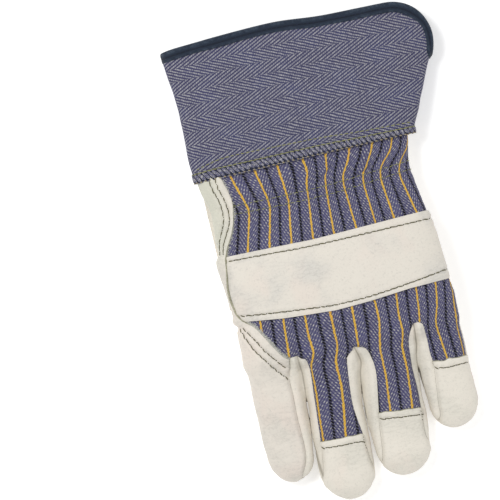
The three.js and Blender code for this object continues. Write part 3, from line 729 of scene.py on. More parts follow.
def add_piece(name, points, faces, finish, node=None, maps=None, rim=None,
              rim_edges=None, rim_finish=None):
    """A mesh object in the model's frame that rides on the glove and takes a CAD node's place."""
    every_face = faces if rim is None else np.concatenate([faces, rim])
    mesh = bpy.data.meshes.new(name)
    mesh.from_pydata(to_model(points).tolist(), [], every_face.tolist(), shade_flat=False)
    mesh.materials.append(finish)
    if rim is not None:
        mesh.materials.append(rim_finish or finish)
        which = np.zeros(len(every_face), dtype=np.int32)
        which[len(faces) :] = 1
        mesh.polygons.foreach_set("material_index", which)
        ends = np.empty(len(mesh.edges) * 2, dtype=np.int32)
        mesh.edges.foreach_get("vertices", ends)
        ends = np.sort(ends.reshape(-1, 2), axis=1)
        key = ends[:, 0] * len(points) + ends[:, 1]
        rim_edges = np.sort(rim_edges, axis=1)
        half = len(points) // 2
        sharp_key = rim_edges[:, 0] * len(points) + rim_edges[:, 1]
        inner_key = (rim_edges[:, 0] + half) * len(points) + rim_edges[:, 1] + half
        sharp = np.isin(key, np.concatenate([sharp_key, inner_key]))
        mesh.attributes.new("sharp_edge", "BOOLEAN", "EDGE").data.foreach_set("value", sharp)
    corner = np.empty(len(mesh.loops), dtype=np.int32)
    mesh.loops.foreach_get("vertex_index", corner)
    for map_name, values in (maps or {}).items():
        layer = mesh.uv_layers.new(name=map_name)
        layer.data.foreach_set("uv", np.asarray(values, dtype=np.float32)[corner].ravel())
    piece = bpy.data.objects.new(name, mesh)
    bpy.context.collection.objects.link(piece)
    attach(piece, "root")
    if node:
        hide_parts(*node.split())
    return piece


surfaces = {}


def sewn_sheet(name, surface, height, value, thickness, finish, weave=None,
               flare=0.0, rim_finish=None):
    """A sheet cut from a surface where value is zero, its top at a height over the surface."""
    points, normals, faces = surface
    top = above_floor(points + normals * np.broadcast_to(height, len(points))[:, None])
    columns = [top, normals] if weave is None else [top, normals, weave]
    data, cut = clip(np.hstack(columns), faces, value)
    surfaces[name] = BVHTree.FromPolygons(data[:, :3].tolist(), cut.tolist())
    solid, both, rim, edges = solid_sheet(data[:, :3], data[:, 3:6], cut, thickness, flare)
    maps = {} if weave is None else {"weave": np.vstack([data[:, 6:]] * 2)}
    add_piece(name, solid, both, finish, name, maps, rim, edges, rim_finish)
    print(name, len(both) + len(rim), "triangles")
    return data, cut


print("an empty clip leaves", len(clip(skin_moved, skin_faces, plan_y)[1]), "faces past the wrist")

# %% [markdown]
# A finish is a tree of shader nodes. Written node by node it is hard to read, so a small class
# lets a socket be used in ordinary sums: each + or * adds one Math node. Patterns come from two
# kinds of places: the object's own millimetres for leather, and the "weave" map for cloth, whose
# first number counts stripes or runs round the cuff and whose second runs along the glove.

# %% Shader sums
class Value:
    """A node socket that takes part in sums and adds the Math nodes for them."""

    def __init__(self, finish, socket):
        self.finish = finish
        self.socket = socket

    def __add__(self, other):
        return self.finish.math("ADD", self, other)

    def __sub__(self, other):
        return self.finish.math("SUBTRACT", self, other)

    def __rsub__(self, other):
        return self.finish.math("SUBTRACT", other, self)

    def __mul__(self, other):
        return self.finish.math("MULTIPLY", self, other)

    def __truediv__(self, other):
        return self.finish.math("DIVIDE", self, other)

    def __abs__(self):
        return self.finish.math("ABSOLUTE", self)

    __radd__ = __add__
    __rmul__ = __mul__


def paint(red, green, blue):
    """A colour as seen on a screen, 0 to 255, as the shader's linear colour."""
    linear = [
        c / 12.92 if c <= 0.04045 else ((c + 0.055) / 1.055) ** 2.4
        for c in (red / 255, green / 255, blue / 255)
    ]
    return (*linear, 1.0)


class Finish:
    """A material that is built up from sums, textures and mixes."""

    def __init__(self, name):
        self.material = bpy.data.materials.new(name)
        self.material.use_nodes = True
        self.tree = self.material.node_tree
        self.shader = self.tree.nodes["Principled BSDF"]

    def node(self, kind, settings=None, values=None, output=0):
        """Any node: its settings first, then the values or links of its sockets."""
        made = self.tree.nodes.new(kind)
        for name, setting in (settings or {}).items():
            setattr(made, name, setting)
        for name, value in (values or {}).items():
            if isinstance(value, Value):
                self.tree.links.new(value.socket, made.inputs[name])
            else:
                made.inputs[name].default_value = value
        return Value(self, made.outputs[output])

    def math(self, operation, *values):
        """One Math node."""
        return self.node("ShaderNodeMath", {"operation": operation}, dict(enumerate(values)))

    def mix(self, factor, low, high):
        """From the low colour to the high colour."""
        settings = {"data_type": "RGBA", "clamp_factor": True}
        return self.node("ShaderNodeMix", settings, {0: factor, 6: low, 7: high}, 2)

    def over(self, colour, share, *seen):
        """A colour with another laid over it by a share. The other is as seen, 0 to 255."""
        return self.mix(share, colour, paint(*seen))

    def step(self, low, high, value):
        """0 below low, 1 above high, smooth between."""
        settings = {"interpolation_type": "SMOOTHSTEP"}
        values = {"Value": value, "From Min": low, "From Max": high}
        return self.node("ShaderNodeMapRange", settings, values)

    def millimetres(self, stretch=(1, 1, 1)):
        """The place on the object in mm, stretched along its axes."""
        place = self.node("ShaderNodeTexCoord", output=3)
        scale = tuple(1000 * s for s in stretch)
        return self.node("ShaderNodeVectorMath", {"operation": "MULTIPLY"}, {0: place, 1: scale})

    def weave(self, name="weave"):
        """The two numbers of a map."""
        place = self.node("ShaderNodeUVMap", {"uv_map": name})
        split = self.node("ShaderNodeSeparateXYZ", None, {0: place}).socket.node
        return Value(self, split.outputs[0]), Value(self, split.outputs[1])

    def plan(self):
        """The place on the object in mm, across and along the glove."""
        split = self.node("ShaderNodeSeparateXYZ", None, {0: self.millimetres()}).socket.node
        return Value(self, split.outputs[0]), Value(self, split.outputs[1])

    def noise(self, size, detail=2.0, place=None, roughness=0.5):
        """Soft noise with features of about that size in the units of its place."""
        values = {"Scale": 1 / size, "Detail": detail, "Roughness": roughness}
        values["Vector"] = place or self.millimetres()
        return self.node("ShaderNodeTexNoise", None, values)

    def along(self, across, length):
        """Two numbers as a place for a texture."""
        return self.node("ShaderNodeCombineXYZ", None, {0: across, 1: length})

    def wave(self, turns):
        """From 0 to 1 and back once a turn."""
        return self.math("SINE", turns * (2 * math.pi)) * 0.5 + 0.5

    def bump(self, height, depth, under=None):
        """A normal that is pushed by a height from 0 to 1, whose 1 is depth mm high."""
        values = {"Height": height, "Distance": depth * MILLIMETRE, "Strength": 1.0}
        if under:
            values["Normal"] = under
        return self.node("ShaderNodeBump", None, values)

    def finish(self, colour, roughness, normal=None, **constants):
        """Links what varies and sets what doesn't on the shader itself."""
        links = {"Base Color": colour, "Roughness": roughness, "Normal": normal}
        for name, value in links.items():
            if isinstance(value, Value):
                self.tree.links.new(value.socket, self.shader.inputs[name])
            elif value is not None:
                self.shader.inputs[name].default_value = value
        for name, value in constants.items():
            self.shader.inputs[name.replace("_", " ")].default_value = value
        return self.material


print("shader sums are ready")

# %% [markdown]
# The leather is a pale split or grain cowhide: nearly one colour, with faint grey-green and pink
# clouds, fine pores and short creases that run across the hand. Its raw edges show the fuzzy,
# darker flesh side. A photo texture would repeat and show its edges, so noise at four sizes
# is mixed instead.

# %% Leather finishes
def leather_finish(name, pale, cool, warm, wrap=None, folded=False):
    """Leather with clouds, specks and wrinkles, and painted shade in wrinkles, a fold and the
    wrap.
    """
    leather = Finish(name)
    clouds = leather.noise(26, 3)
    warmth = leather.noise(15, 2, leather.millimetres((1, 0.6, 1)))
    speck = leather.noise(1.3, 3, roughness=0.7)
    grain = leather.noise(0.55, 3, roughness=0.65)
    creases = leather.noise(2.2, 3, leather.millimetres((0.7, 1.3, 1)), roughness=0.6)
    colour = leather.mix(leather.step(0.42, 0.7, clouds) * 0.8, paint(*pale), paint(*cool))
    colour = leather.over(colour, leather.step(0.5, 0.75, warmth) * 0.5, *warm)
    if wrap:
        across, along = leather.plan()
        # Painted shade: the wrap, at the left side above the strap, turns darker and greener
        # towards its edge.
        wrap_shade_mask = (1 - leather.step(-68, -52, across)) * leather.step(2, 26, along)
        colour = leather.over(colour, wrap_shade_mask, *wrap)
    if folded:
        from_fold = abs(leather.weave()[0])
        near, far = leather.step(0.1, 0.6, from_fold), leather.step(0.5, 3.5, from_fold)
        # Painted shade in the fold: a narrow dark line at the fold itself, with some dirt, and a
        # wider faint shade down the valley.
        colour = leather.over(colour, (1 - near) * 0.7, 122, 114, 98)
        colour = leather.over(colour, (1 - far) * 0.25, 190, 182, 166)
    darker = leather.step(0.5, 0.75, speck) * 0.34
    colour = leather.over(colour, darker, *(c * 0.84 for c in cool))
    folds = leather.noise(4.5, 3, leather.millimetres((0.6, 1.5, 1)), roughness=0.6)
    wrinkles = (1 - leather.step(0.0, 0.04, abs(folds - 0.5))) * leather.step(0.4, 0.62, clouds)
    # Painted shade: the wrinkle lines are darkened as well as bumped.
    colour = leather.over(colour, wrinkles * 0.3, *(c * 0.9 for c in cool))
    normal = leather.bump(creases - wrinkles * 0.35, 0.2)
    normal = leather.bump(grain, 0.12, normal)
    roughness = leather.noise(9, 2) * 0.16 + 0.56
    return leather.finish(
        colour, roughness, normal, Specular_IOR_Level=0.35, Sheen_Weight=0.08, Sheen_Roughness=0.5
    )


CREAM = [(229, 223, 211), (219, 215, 203), (231, 218, 206)]  # pale, cool, warm
cream_leather = leather_finish("cream_leather", *CREAM)
# The strap leather is the cream made slightly darker: painted shade against the extra light that
# the raised strap catches.
shaded_strap_leather = leather_finish("shaded_strap_leather", (223, 217, 206), (207, 204, 197), (225, 213, 202))
# Its wrap colour is painted shade on the wrap.
palm_leather = leather_finish(
    "palm_leather", (226, 219, 208), (213, 208, 198), (228, 214, 203), wrap=(206, 205, 190)
)
# Its darkening along the fold is painted shade.
fourchette_leather = leather_finish("fourchette_leather", *CREAM, folded=True)
welt_leather = leather_finish("welt_leather", (214, 213, 206), (198, 200, 194), (216, 206, 198))


def raw_edge_finish():
    """The fuzzy flesh side that shows at a cut edge."""
    edge = Finish("raw_leather_edge")
    fibre = edge.noise(0.5, 3, roughness=0.7)
    blotch = edge.noise(3.5, 2)
    colour = edge.mix(edge.step(0.35, 0.7, fibre), paint(142, 141, 118), paint(196, 192, 172))
    colour = edge.over(colour, edge.step(0.5, 0.8, blotch) * 0.4, 120, 122, 104)
    return edge.finish(colour, 0.95, edge.bump(fibre, 0.3), Specular_IOR_Level=0.1)


raw_edge = raw_edge_finish()
print("leather finishes: 6")

# %% [markdown]
# The back is ticking, a twill with single gold and black yarn stripes. Between them the blue
# warp shows pale weft flecks, whose slant turns over at every stripe. The weave map gives the
# stripe number, so the stripes bend where the real ones do, at the elastic and between fingers.

# %% Ticking cloth
TWILL_PITCH = 1.35


def ticking_finish():
    """Blue twill with pale flecks and single gold and black yarn stripes."""
    cloth = Finish("ticking_cloth")
    stripe, along = cloth.weave()
    place = cloth.along(stripe * STRIPE_PITCH, along)
    wobble = (cloth.noise(1.7, 2, place) - 0.5) * 0.08
    number = stripe + wobble
    across = stripe * STRIPE_PITCH
    from_gold = abs(cloth.math("FRACT", number + 20.5) - 0.5) * STRIPE_PITCH
    from_black = abs(cloth.math("FRACT", number + 20.0) - 0.5) * STRIPE_PITCH
    slant = cloth.math("SIGN", cloth.math("FRACT", number + 20.0) - 0.5)
    sway = cloth.noise(4.0, 2, place) * 0.5
    twill = across * 0.84 / TWILL_PITCH + along * slant * 0.54 / TWILL_PITCH + sway
    ribs = cloth.wave(twill)
    broken = cloth.noise(1.0, 2, cloth.along(twill * 1.1, along * 1.2), roughness=0.6)
    dashes = cloth.wave(along / 1.9 + cloth.math("FLOOR", twill) * 0.43)
    flecks = cloth.step(0.35, 0.9, ribs) * cloth.step(0.35, 0.75, dashes)
    flecks = flecks * cloth.step(0.4, 0.56, broken)
    fuzz = cloth.noise(0.8, 3, place, roughness=0.7)
    tone = cloth.noise(8, 3, cloth.along(across, along * 0.5))
    colour = cloth.mix(ribs * (broken * 0.9 + 0.3), paint(58, 57, 91), paint(112, 110, 134))
    colour = cloth.over(colour, cloth.step(0.4, 0.7, tone) * 0.4, 84, 84, 122)
    colour = cloth.over(colour, cloth.step(0.45, 0.7, fuzz) * 0.4, 134, 132, 150)
    colour = cloth.over(colour, flecks * 0.72, 204, 202, 196)
    shade = 1 - cloth.step(0.5, 1.3, cloth.math("MINIMUM", from_black - 0.6, from_gold))
    colour = cloth.over(colour, shade * 0.25, 52, 52, 72)
    twist = cloth.wave(along / 1.5 - across * 0.7)
    frayed = (fuzz - 0.5) * 0.5
    gold = 1 - cloth.step(0.46, 0.74, from_gold + frayed + twist * 0.12)
    gold_tone = cloth.noise(3, 2, cloth.along(across, along * 0.4))
    gold_colour = cloth.mix(twist * 0.7, paint(230, 188, 78), paint(186, 142, 60))
    gold_colour = cloth.over(gold_colour, cloth.step(0.5, 0.8, gold_tone) * 0.5, 216, 158, 78)
    rope = cloth.wave(along / 1.75 + across * 0.42)
    worn = cloth.step(0.68, 0.95, rope) * cloth.step(0.35, 0.5, fuzz)
    black = (1 - cloth.step(0.66, 0.96, from_black + rope * 0.4 + frayed)) * (1 - worn * 0.85)
    colour = cloth.mix(gold, colour, gold_colour)
    colour = cloth.over(colour, black, 22, 23, 26)
    height = flecks * 0.4 + ribs * 0.3 + gold * (0.3 + twist * 0.25) + black * 0.3 * rope
    return cloth.finish(
        colour, 0.9, cloth.bump(height, 0.3), Specular_IOR_Level=0.15, Sheen_Weight=0.06
    )


ticking_cloth = ticking_finish()
print("ticking cloth, stripes every", STRIPE_PITCH, "mm")

# %% [markdown]
# The cuff is stiff denim-like canvas in a herringbone: bands run round the wrist and pale yarns
# cross each band at a slant that turns over in the next one. A triangle wave of the length along
# the cuff makes the yarns meet at the band edges, as they do on a loom.

# %% Cuff cloth, binding and threads
HERRINGBONE_BAND = 7.27
HERRINGBONE_START = 5.6
YARN_PITCH = 1.58
YARN_SLANT = math.radians(25.7)


def herringbone_finish():
    """Blue canvas with pale yarns in a herringbone."""
    cloth = Finish("cuff_cloth")
    around, along = cloth.weave()
    place = cloth.along(around, along)
    wobble = cloth.noise(3.0, 2, place) - 0.5
    line = along - HERRINGBONE_START + wobble * 0.5
    band = cloth.math("FRACT", line / (2 * HERRINGBONE_BAND) + 20) * 2
    zigzag = abs(band - 1) * HERRINGBONE_BAND
    other = cloth.math("FLOOR", band)
    turns = (zigzag * math.cos(YARN_SLANT) + around * math.sin(YARN_SLANT)) / YARN_PITCH
    turns = turns + other * 0.4
    yarn = cloth.wave(turns + wobble * 0.25)
    row = cloth.math("FLOOR", turns + 0.25)
    dash = cloth.wave(around * math.cos(YARN_SLANT) / 1.05 + row * 0.37)
    worn = cloth.noise(1.3, 2, cloth.along(around * 0.7, turns * 1.2), roughness=0.7)
    pale = cloth.step(0.18, 0.75, yarn) * (dash * 0.55 + 0.12 + cloth.step(0.35, 0.65, worn) * 0.5)
    patch = cloth.noise(14, 3, place)
    fuzz = cloth.noise(0.7, 3, place, roughness=0.7)
    colour = cloth.mix(fuzz, paint(43, 43, 72), paint(76, 76, 108))
    colour = cloth.over(colour, cloth.step(0.4, 0.7, patch) * 0.35, 62, 68, 110)
    pale_colour = cloth.mix(fuzz, paint(136, 136, 148), paint(194, 192, 194))
    colour = cloth.mix(pale * 0.9, colour, pale_colour)
    height = pale * 0.8 + fuzz * 0.3
    return cloth.finish(
        colour, 0.92, cloth.bump(height, 0.35), Specular_IOR_Level=0.12, Sheen_Weight=0.05
    )


def tape_finish():
    """Navy tape with fine ribs, painted highlight along its edges and painted shade at its
    stitches.
    """
    tape = Finish("navy_binding_tape")
    around, across = tape.weave()
    ribs = tape.wave(around / 0.62 + tape.math("FLOOR", across / 0.9) * 0.5)
    fuzz = tape.noise(0.6, 2)
    worn = tape.noise(7, 3)
    colour = tape.mix(ribs * 0.7, paint(26, 35, 49), paint(46, 58, 76))
    colour = tape.over(colour, tape.step(0.5, 0.8, worn) * 0.35, 66, 77, 94)
    from_stitches = abs(across + 2.8)
    # Painted highlight: patches of paler navy along both folded edges of the tape.
    edge_highlight_patches = tape.step(0.4, 0.65, tape.noise(2.5, 3, roughness=0.7))
    edge = tape.step(1.0, 1.8, from_stitches) * edge_highlight_patches
    colour = tape.over(colour, edge * 0.35, 78, 92, 108)
    # Painted shade: a dark line along the groove where the tape is stitched down.
    colour = tape.over(colour, (1 - tape.step(0.2, 0.65, from_stitches)) * 0.65, 13, 19, 28)
    height = ribs * 0.7 + fuzz * 0.5
    return tape.finish(
        colour, 0.8, tape.bump(height, 0.16), Specular_IOR_Level=0.2, Sheen_Weight=0.15
    )


def thread_finish(name, shade, light):
    """A matt thread between two colours."""
    thread = Finish(name)
    fibre = thread.noise(0.35, 2)
    tone = thread.noise(4, 2)
    colour = thread.mix(thread.step(0.3, 0.7, fibre), paint(*shade), paint(*light))
    colour = thread.over(colour, tone * 0.3, *shade)
    return thread.finish(colour, 0.75, thread.bump(fibre, 0.08), Specular_IOR_Level=0.25)


def hem_finish():
    """Blue yarn with pale streaks that run along the loops."""
    yarn = Finish("pale_hem_yarn")
    across, along = yarn.plan()
    fuzz = yarn.noise(0.6, 3, roughness=0.7)
    turns = across * 0.88 + along * 0.47
    down_yarn = (along * 0.88 - across * 0.47) * 0.35
    streak = yarn.noise(0.5, 2, yarn.along(turns, down_yarn), roughness=0.7)
    ribs = yarn.wave(turns / 0.78)
    colour = yarn.mix(ribs * 0.85, paint(56, 57, 90), paint(120, 120, 146))
    colour = yarn.over(colour, yarn.step(0.46, 0.62, streak) * 0.8, 190, 187, 184)
    normal = yarn.bump(ribs * 0.7 + fuzz * 0.4, 0.22)
    return yarn.finish(colour, 0.9, normal, Specular_IOR_Level=0.12)


cuff_cloth = herringbone_finish()
hem_yarn = hem_finish()
binding_tape = tape_finish()
olive_thread = thread_finish("olive_thread", (62, 60, 38), (116, 110, 76))
# The near-black thread at the holes is painted shade where each stitch goes down into the leather.
shaded_hole_thread = thread_finish("thread_shaded_in_its_hole", (26, 25, 16), (54, 52, 36))
lime_thread = thread_finish("lime_thread", (120, 122, 84), (164, 163, 116))
sand_thread = thread_finish("sand_thread", (130, 122, 108), (178, 166, 132))
navy_thread = thread_finish("navy_thread", (22, 25, 40), (44, 50, 74))
print("cloth, tape and thread finishes: 9")

# %% [markdown]
# Each panel of the hand is now cut from the skin. The back cloth runs a little way under the
# leather that laps over it, and the lapping leather is lifted by its own thickness, so a raw edge
# stands on the cloth. Laps could be faked in the finish, but the edge would cast no shadow.

# %% The panels of the hand
LEATHER_THICKNESS = 1.3
CLOTH_THICKNESS = 0.9
LAP_LIFT = 1.0
CAP_STITCH_INSET = 3.8
WRIST_END = 2.0
HAIR = 0.06  # half the width of a closed seam
flat_gap = {
    name: outline_distance(outline, plan_x, plan_y)
    for name, outline in {**OUTLINES_ABOVE, **OUTLINES_BELOW, "seen": seen_cloth}.items()
}
values = {name: np.maximum(flat_gap[name], -over_seam) for name in OUTLINES_ABOVE}
values.update({name: np.maximum(flat_gap[name], over_seam) for name in OUTLINES_BELOW})
not_palm = [np.maximum(flat_gap["seen"], -over_seam), *values.values()]
values["palm"] = np.max([-value for value in not_palm], axis=0)
lapped = np.clip(2 - lap_gap / 2, 0, 1) * smooth_step(-106, -102, plan_y)
cloth_gap = outline_distance(whole_cloth, plan_x, plan_y)
values["back_cloth"] = np.maximum(cloth_gap - 2.4 * lapped, -over_seam)

cap_gap = nearest_line(CAP_EDGES.values(), plan_x, plan_y)
stitch_gap = nearest_line(map(smooth_line, WRAP_STITCHES + LAP_STITCHES), plan_x, plan_y)
groove = 0.3 * hump(stitch_gap - 1.8, 0.9) - 0.75 * hump(stitch_gap, 0.95)
beside_strap = smooth_step(-42, -46, plan_y) * smooth_step(-84, -79, plan_y)
lap_rise = (LAP_LIFT + 1.9 * beside_strap) * (1 - smooth_step(2.0, 13.0, lap_gap))
cap_rise = 0.8 * (1 - smooth_step(1.0, 8.0, cap_gap)) - 0.3 * hump(cap_gap - CAP_STITCH_INSET, 0.7)
rise = {"palm": np.where(upper, lap_rise + groove, 0), **dict.fromkeys(CAP_EDGES, cap_rise)}
creased_hand = (skin_moved, normals_of(skin_moved, skin_faces), skin_faces)
smooth_hand = (skin_points, skin_normals, skin_faces)
weave_map = np.stack([stripes + side_drop / STRIPE_PITCH, plan_y], axis=1)
fold_map = np.stack([fold_side, plan_y], axis=1)

for name, value in values.items():
    value = np.maximum(value + HAIR, plan_y - WRIST_END)
    if name == "back_cloth":
        sewn_sheet(name, creased_hand, 0, value, CLOTH_THICKNESS, ticking_cloth,
                   weave_map)
    elif name.startswith("fourchette"):
        sewn_sheet(name, creased_hand, 0, value, LEATHER_THICKNESS, fourchette_leather,
                   weave=fold_map, rim_finish=raw_edge)
    else:
        hide = palm_leather if name == "palm" else cream_leather
        sewn_sheet(name, creased_hand, rise.get(name, 0), value, LEATHER_THICKNESS, hide,
                   weave=weave_map, flare=0.5 if name in rise else 0, rim_finish=raw_edge)

# %% [markdown]
# The knuckle strap is a band of the same leather across the hand. It lies on the cloth, so it is
# cut from the smooth skin and raised by its own thickness. Its thumb end goes in under the lapped
# leather and its other end into the side seam.

# %% Knuckle strap and finger welt
STRAP_THICKNESS = 1.25
strap_groove = nearest_line(map(smooth_line, STRAP_STITCHES), plan_x, plan_y)
strap_height = (
    1.55 + 0.3 * ripple(skin_points, 30, 11) + 0.12 * ripple(skin_points, 9, 12, (0.6, 1.4, 1))
    - 0.45 * hump(strap_groove, 0.8) - 0.35 * smooth_step(-1.3, 0, strap_gap)
    + 0.12 * hump(strap_groove - 1.7, 0.9) - 1.0 * hump(over_seam, 2.0)
)
sewn_sheet("knuckle_strap", smooth_hand, strap_height, np.maximum(strap_gap, 0.4 - over_seam),
           STRAP_THICKNESS, shaded_strap_leather, weave=weave_map, flare=0.15)

WELT_RADIUS = 2.2
WELT_THICKNESS = 1.6
welt_line = finger_base[(finger_base[:, 0] > -24) & (finger_base[:, 0] < 29)]
welt_gap = line_distance(welt_line, plan_x, plan_y)
welt_height = 0.3 + 1.5 * np.sqrt(np.clip(1 - (welt_gap / WELT_RADIUS) ** 2, 0, 1))
sewn_sheet("finger_welt", smooth_hand, welt_height, np.maximum(welt_gap - 2.0, over_seam + 2.0),
           WELT_THICKNESS, welt_leather, weave_map)

# %% [markdown]
# The thumb lies folded flat under the palm. Its sections aren't square to the glove but fan out
# from the root, so each place in the plan is first given its nearest section. The same net then
# draws it, and it is cut off where it enters the fold and parted along its side seam.

# %% Thumb
THUMB = [
    (-52, -7, -52.5, -73.5, -0.8, 13.4), (-41.7, -4.4, -42.7, -75.4, -0.8, 13.8),
    (-24.6, -6.6, -31.3, -78.7, -0.8, 13.9), (-11.4, -24.6, -19, -83.9, -0.8, 13.9),
    (3.3, -40.8, -5.7, -91, -0.8, 13.9), (16.1, -51.2, 5.7, -94.8, -0.8, 13.8),
    (24.6, -57.8, 15.2, -96.4, -0.6, 13.4), (30.3, -64.5, 23, -93.4, 0.2, 12.4),
    (32.6, -71.5, 28.6, -87, 2.6, 10.4),
]
THUMB_POWER = 2.5
THUMB_SEAM_HEIGHT = 6.6
THUMB_CLEARANCE = 0.5
THUMB_TIP = 3.0


def thumb_distance(x, y, z):
    """Distance from the thumb's skin."""
    steps = np.linspace(0, len(THUMB) - 1, 161)
    rows = read_off(steps, range(len(THUMB)), THUMB)
    bell = hump(np.arange(-12, 13), 8)
    padded = np.pad(rows, ((12, 12), (0, 0)), mode="reflect", reflect_type="odd")
    rows = np.stack([np.convolve(c, bell / bell.sum(), "valid") for c in padded.T], axis=1)
    start, end = rows[:, :2], rows[:, 2:4]
    middle, half = (start + end) / 2, (end - start) / 2
    half_width = np.linalg.norm(half, axis=1)
    along = half / half_width[:, None]
    forward = np.stack([-along[:, 1], along[:, 0]], axis=1)
    px, py = np.broadcast_arrays(x[:, :, 0], y[:, :, 0])
    offset = np.stack([px.ravel(), py.ravel()], axis=1)[:, None, :] - middle[None]
    ahead = (offset * forward).sum(axis=2)
    beside = (offset * along).sum(axis=2) / half_width
    cost = np.abs(ahead) + 4 * np.clip(np.abs(beside) - 1.2, 0, None)
    best = cost.argmin(axis=1)
    pick = np.arange(len(best))
    shape = px.shape + (1,)
    past = np.where(best == len(steps) - 1, np.clip(ahead[pick, best], 0, None) / THUMB_TIP, 0)
    across = np.abs(beside[pick, best]).reshape(shape)
    bottom, top = (rows[best, k].reshape(shape) for k in (4, 5))
    width = half_width[best].reshape(shape)
    half_height = (top - bottom) / 2
    up = np.abs(z - (top + bottom) / 2) / half_height
    ring = (across**THUMB_POWER + up**THUMB_POWER) ** (1 / THUMB_POWER) + 1e-6
    far = np.sqrt(ring**2 + past.reshape(shape) ** 2)
    slope_across = (across / ring) ** (THUMB_POWER - 1) / width
    slope_up = (up / ring) ** (THUMB_POWER - 1) / half_height
    return (far - 1) / np.hypot(slope_across, slope_up)


thumb_low, thumb_high = (-60.0, -100.0, -2.0), (37.0, 2.0, 17.0)
x, y, z = grid(thumb_low, thumb_high, SKIN_STEP)
palm_clear = -(body.distance(x, y, z) - THUMB_CLEARANCE)
thumb_volume = -smooth_minimum(-thumb_distance(x, y, z), -palm_clear, 1.0)
thumb_volume = -smooth_minimum(-thumb_volume, z + 0 * thumb_volume, 1.6)
thumb_points, thumb_quads = surface_net(thumb_volume, np.array(thumb_low), SKIN_STEP)
thumb_points = relax(thumb_points, thumb_quads, 3)
thumb_faces = triangles_of(thumb_quads)
thumb_normals = normals_of(thumb_points, thumb_faces)
over_thumb_seam = thumb_points[:, 2] - THUMB_SEAM_HEIGHT
bend = hump(ripple(thumb_points, 12, 21, (0.8, 1.2, 1)), 0.16)
thumb_lift = valley(np.abs(over_thumb_seam), 0.8, 1.1) + 0.3 * ripple(thumb_points, 20, 22)
thumb_lift = (thumb_lift - 0.3 * bend) * smooth_step(0.2, 2.5, thumb_points[:, 2])
thumb_moved = above_floor(thumb_points + thumb_normals * thumb_lift[:, None])
thumb_surface = (thumb_moved, normals_of(thumb_moved, thumb_faces), thumb_faces)
outside_fold = 0.4 - fold.distance(*thumb_points.T)
for name, side in (("thumb_front", 1), ("thumb_back", -1)):
    value = np.maximum(side * over_thumb_seam + HAIR, outside_fold)
    sewn_sheet(name, thumb_surface, 0, value, LEATHER_THICKNESS, cream_leather)

# %% [markdown]
# The cuff is a flared tube of stiff canvas with its mouth towards +Y. It is drawn as a grid round
# and along the cuff, so that the herringbone can follow real lengths, and then cut along the
# mouth's curved edge with its rounded corner and the notch at the little finger's side.

# %% Cuff
CUFF = [
    (-1, -62, 61.4, 6.8, 26.7, 3.0), (17, -62.5, 69.3, 5.6, 26, 2.9),
    (38, -62, 81, 3.2, 22.4, 2.5), (44, -62.3, 87.5, 2.7, 21.2, 2.4),
    (52, -62.7, 93, 2.2, 19.8, 2.3), (72, -63.7, 100, 1.3, 16.4, 2.3),
    (84, -64, 102, 1.3, 15.2, 2.3),
]  # along, left, right, bottom, top, power
MOUTH_EDGE = [(-80, 73), (-66, 73.8), (-52.5, 75.1), (-3.2, 76.4), (26.4, 73.8), (62.1, 72.6)]
CORNER_MIDDLE = (62.1, 49.8)
CORNER_RADIUS = 22.8
CORNER_END = -30
NOTCH_HEIGHT = 38.2
EDGE_INSET = 0.9
CUFF_WALL = 1.4
CUFF_COLUMNS = 300


def tube_grid(table, y_values, around):
    """Points of a tube, spaced evenly round, and their lengths round it from the left fold."""
    rows = np.array(sorted(table), dtype=float)
    left, right, bottom, top, power = (
        np.interp(y_values, rows[:, 0], column)[:, None] for column in rows.T[1:]
    )
    angle = np.linspace(0, 2 * math.pi, 1441)[None] + math.pi / 2
    across, up = (np.sign(v) * np.abs(v) ** (2 / power) for v in (np.cos(angle), np.sin(angle)))
    x = (left + right) / 2 + (right - left) / 2 * across
    z = (bottom + top) / 2 + (top - bottom) / 2 * up
    moves = np.hypot(np.diff(x, prepend=x[:, :1]), np.diff(z, prepend=z[:, :1]))
    length = np.cumsum(moves, axis=1)
    points, run = [], []
    for row, y in enumerate(y_values):
        even = np.linspace(0, length[row, -1], around + 1)[:-1]
        points.append(np.stack(
            [np.interp(even, length[row], x[row]), np.full(around, y),
             np.interp(even, length[row], z[row])], axis=1))
        past_fold = np.abs(even - length[row, -1] / 4)
        run.append(np.minimum(past_fold, length[row, -1] - past_fold))
    return np.array(points), np.array(run)


def tube_faces(rows, columns, closed=False):
    """Triangles between the rows of a tube of points, and from the last row to the first."""
    near = np.arange(rows * columns).reshape(rows, columns)
    far = np.roll(near, -1, axis=0)
    if not closed:
        near, far = near[:-1], far[:-1]
    quads = np.stack([near, np.roll(near, -1, 1), np.roll(far, -1, 1), far], axis=-1)
    return triangles_of(quads.reshape(-1, 4))


def turned_out(points, faces):
    """The faces of a closed form, turned over where they look inwards."""
    a, b, c = (points[faces[:, k]] for k in range(3))
    return faces if (np.cross(a, b) * c).sum() > 0 else faces[:, ::-1]


cuff_rows = np.arange(-1, 84.5, 1.1)
cuff_grid, cuff_run = tube_grid(CUFF, cuff_rows, CUFF_COLUMNS)
cuff_points = cuff_grid.reshape(-1, 3)
cuff_faces = tube_faces(len(cuff_rows), CUFF_COLUMNS)
cuff_normals = normals_of(cuff_points, cuff_faces)
if (cuff_normals[:, 2] * (cuff_points[:, 2] - 12)).sum() < 0:
    cuff_faces = cuff_faces[:, ::-1]
    cuff_normals = -cuff_normals
cuff_lift = 0.8 * ripple(cuff_points, 46, 31) + 0.15 * ripple(cuff_points, 14, 32)
cuff_lift *= smooth_step(0, 14, cuff_points[:, 1]) * smooth_step(1.0, 5.0, cuff_points[:, 2])
cuff_points = cuff_points + cuff_normals * cuff_lift[:, None]
cuff_points[:, 2] = np.maximum(cuff_points[:, 2], 0.9)
mouth = smooth_line(MOUTH_EDGE, 2.0) - [0, EDGE_INSET]
turn = np.radians(np.linspace(90, CORNER_END, 30))
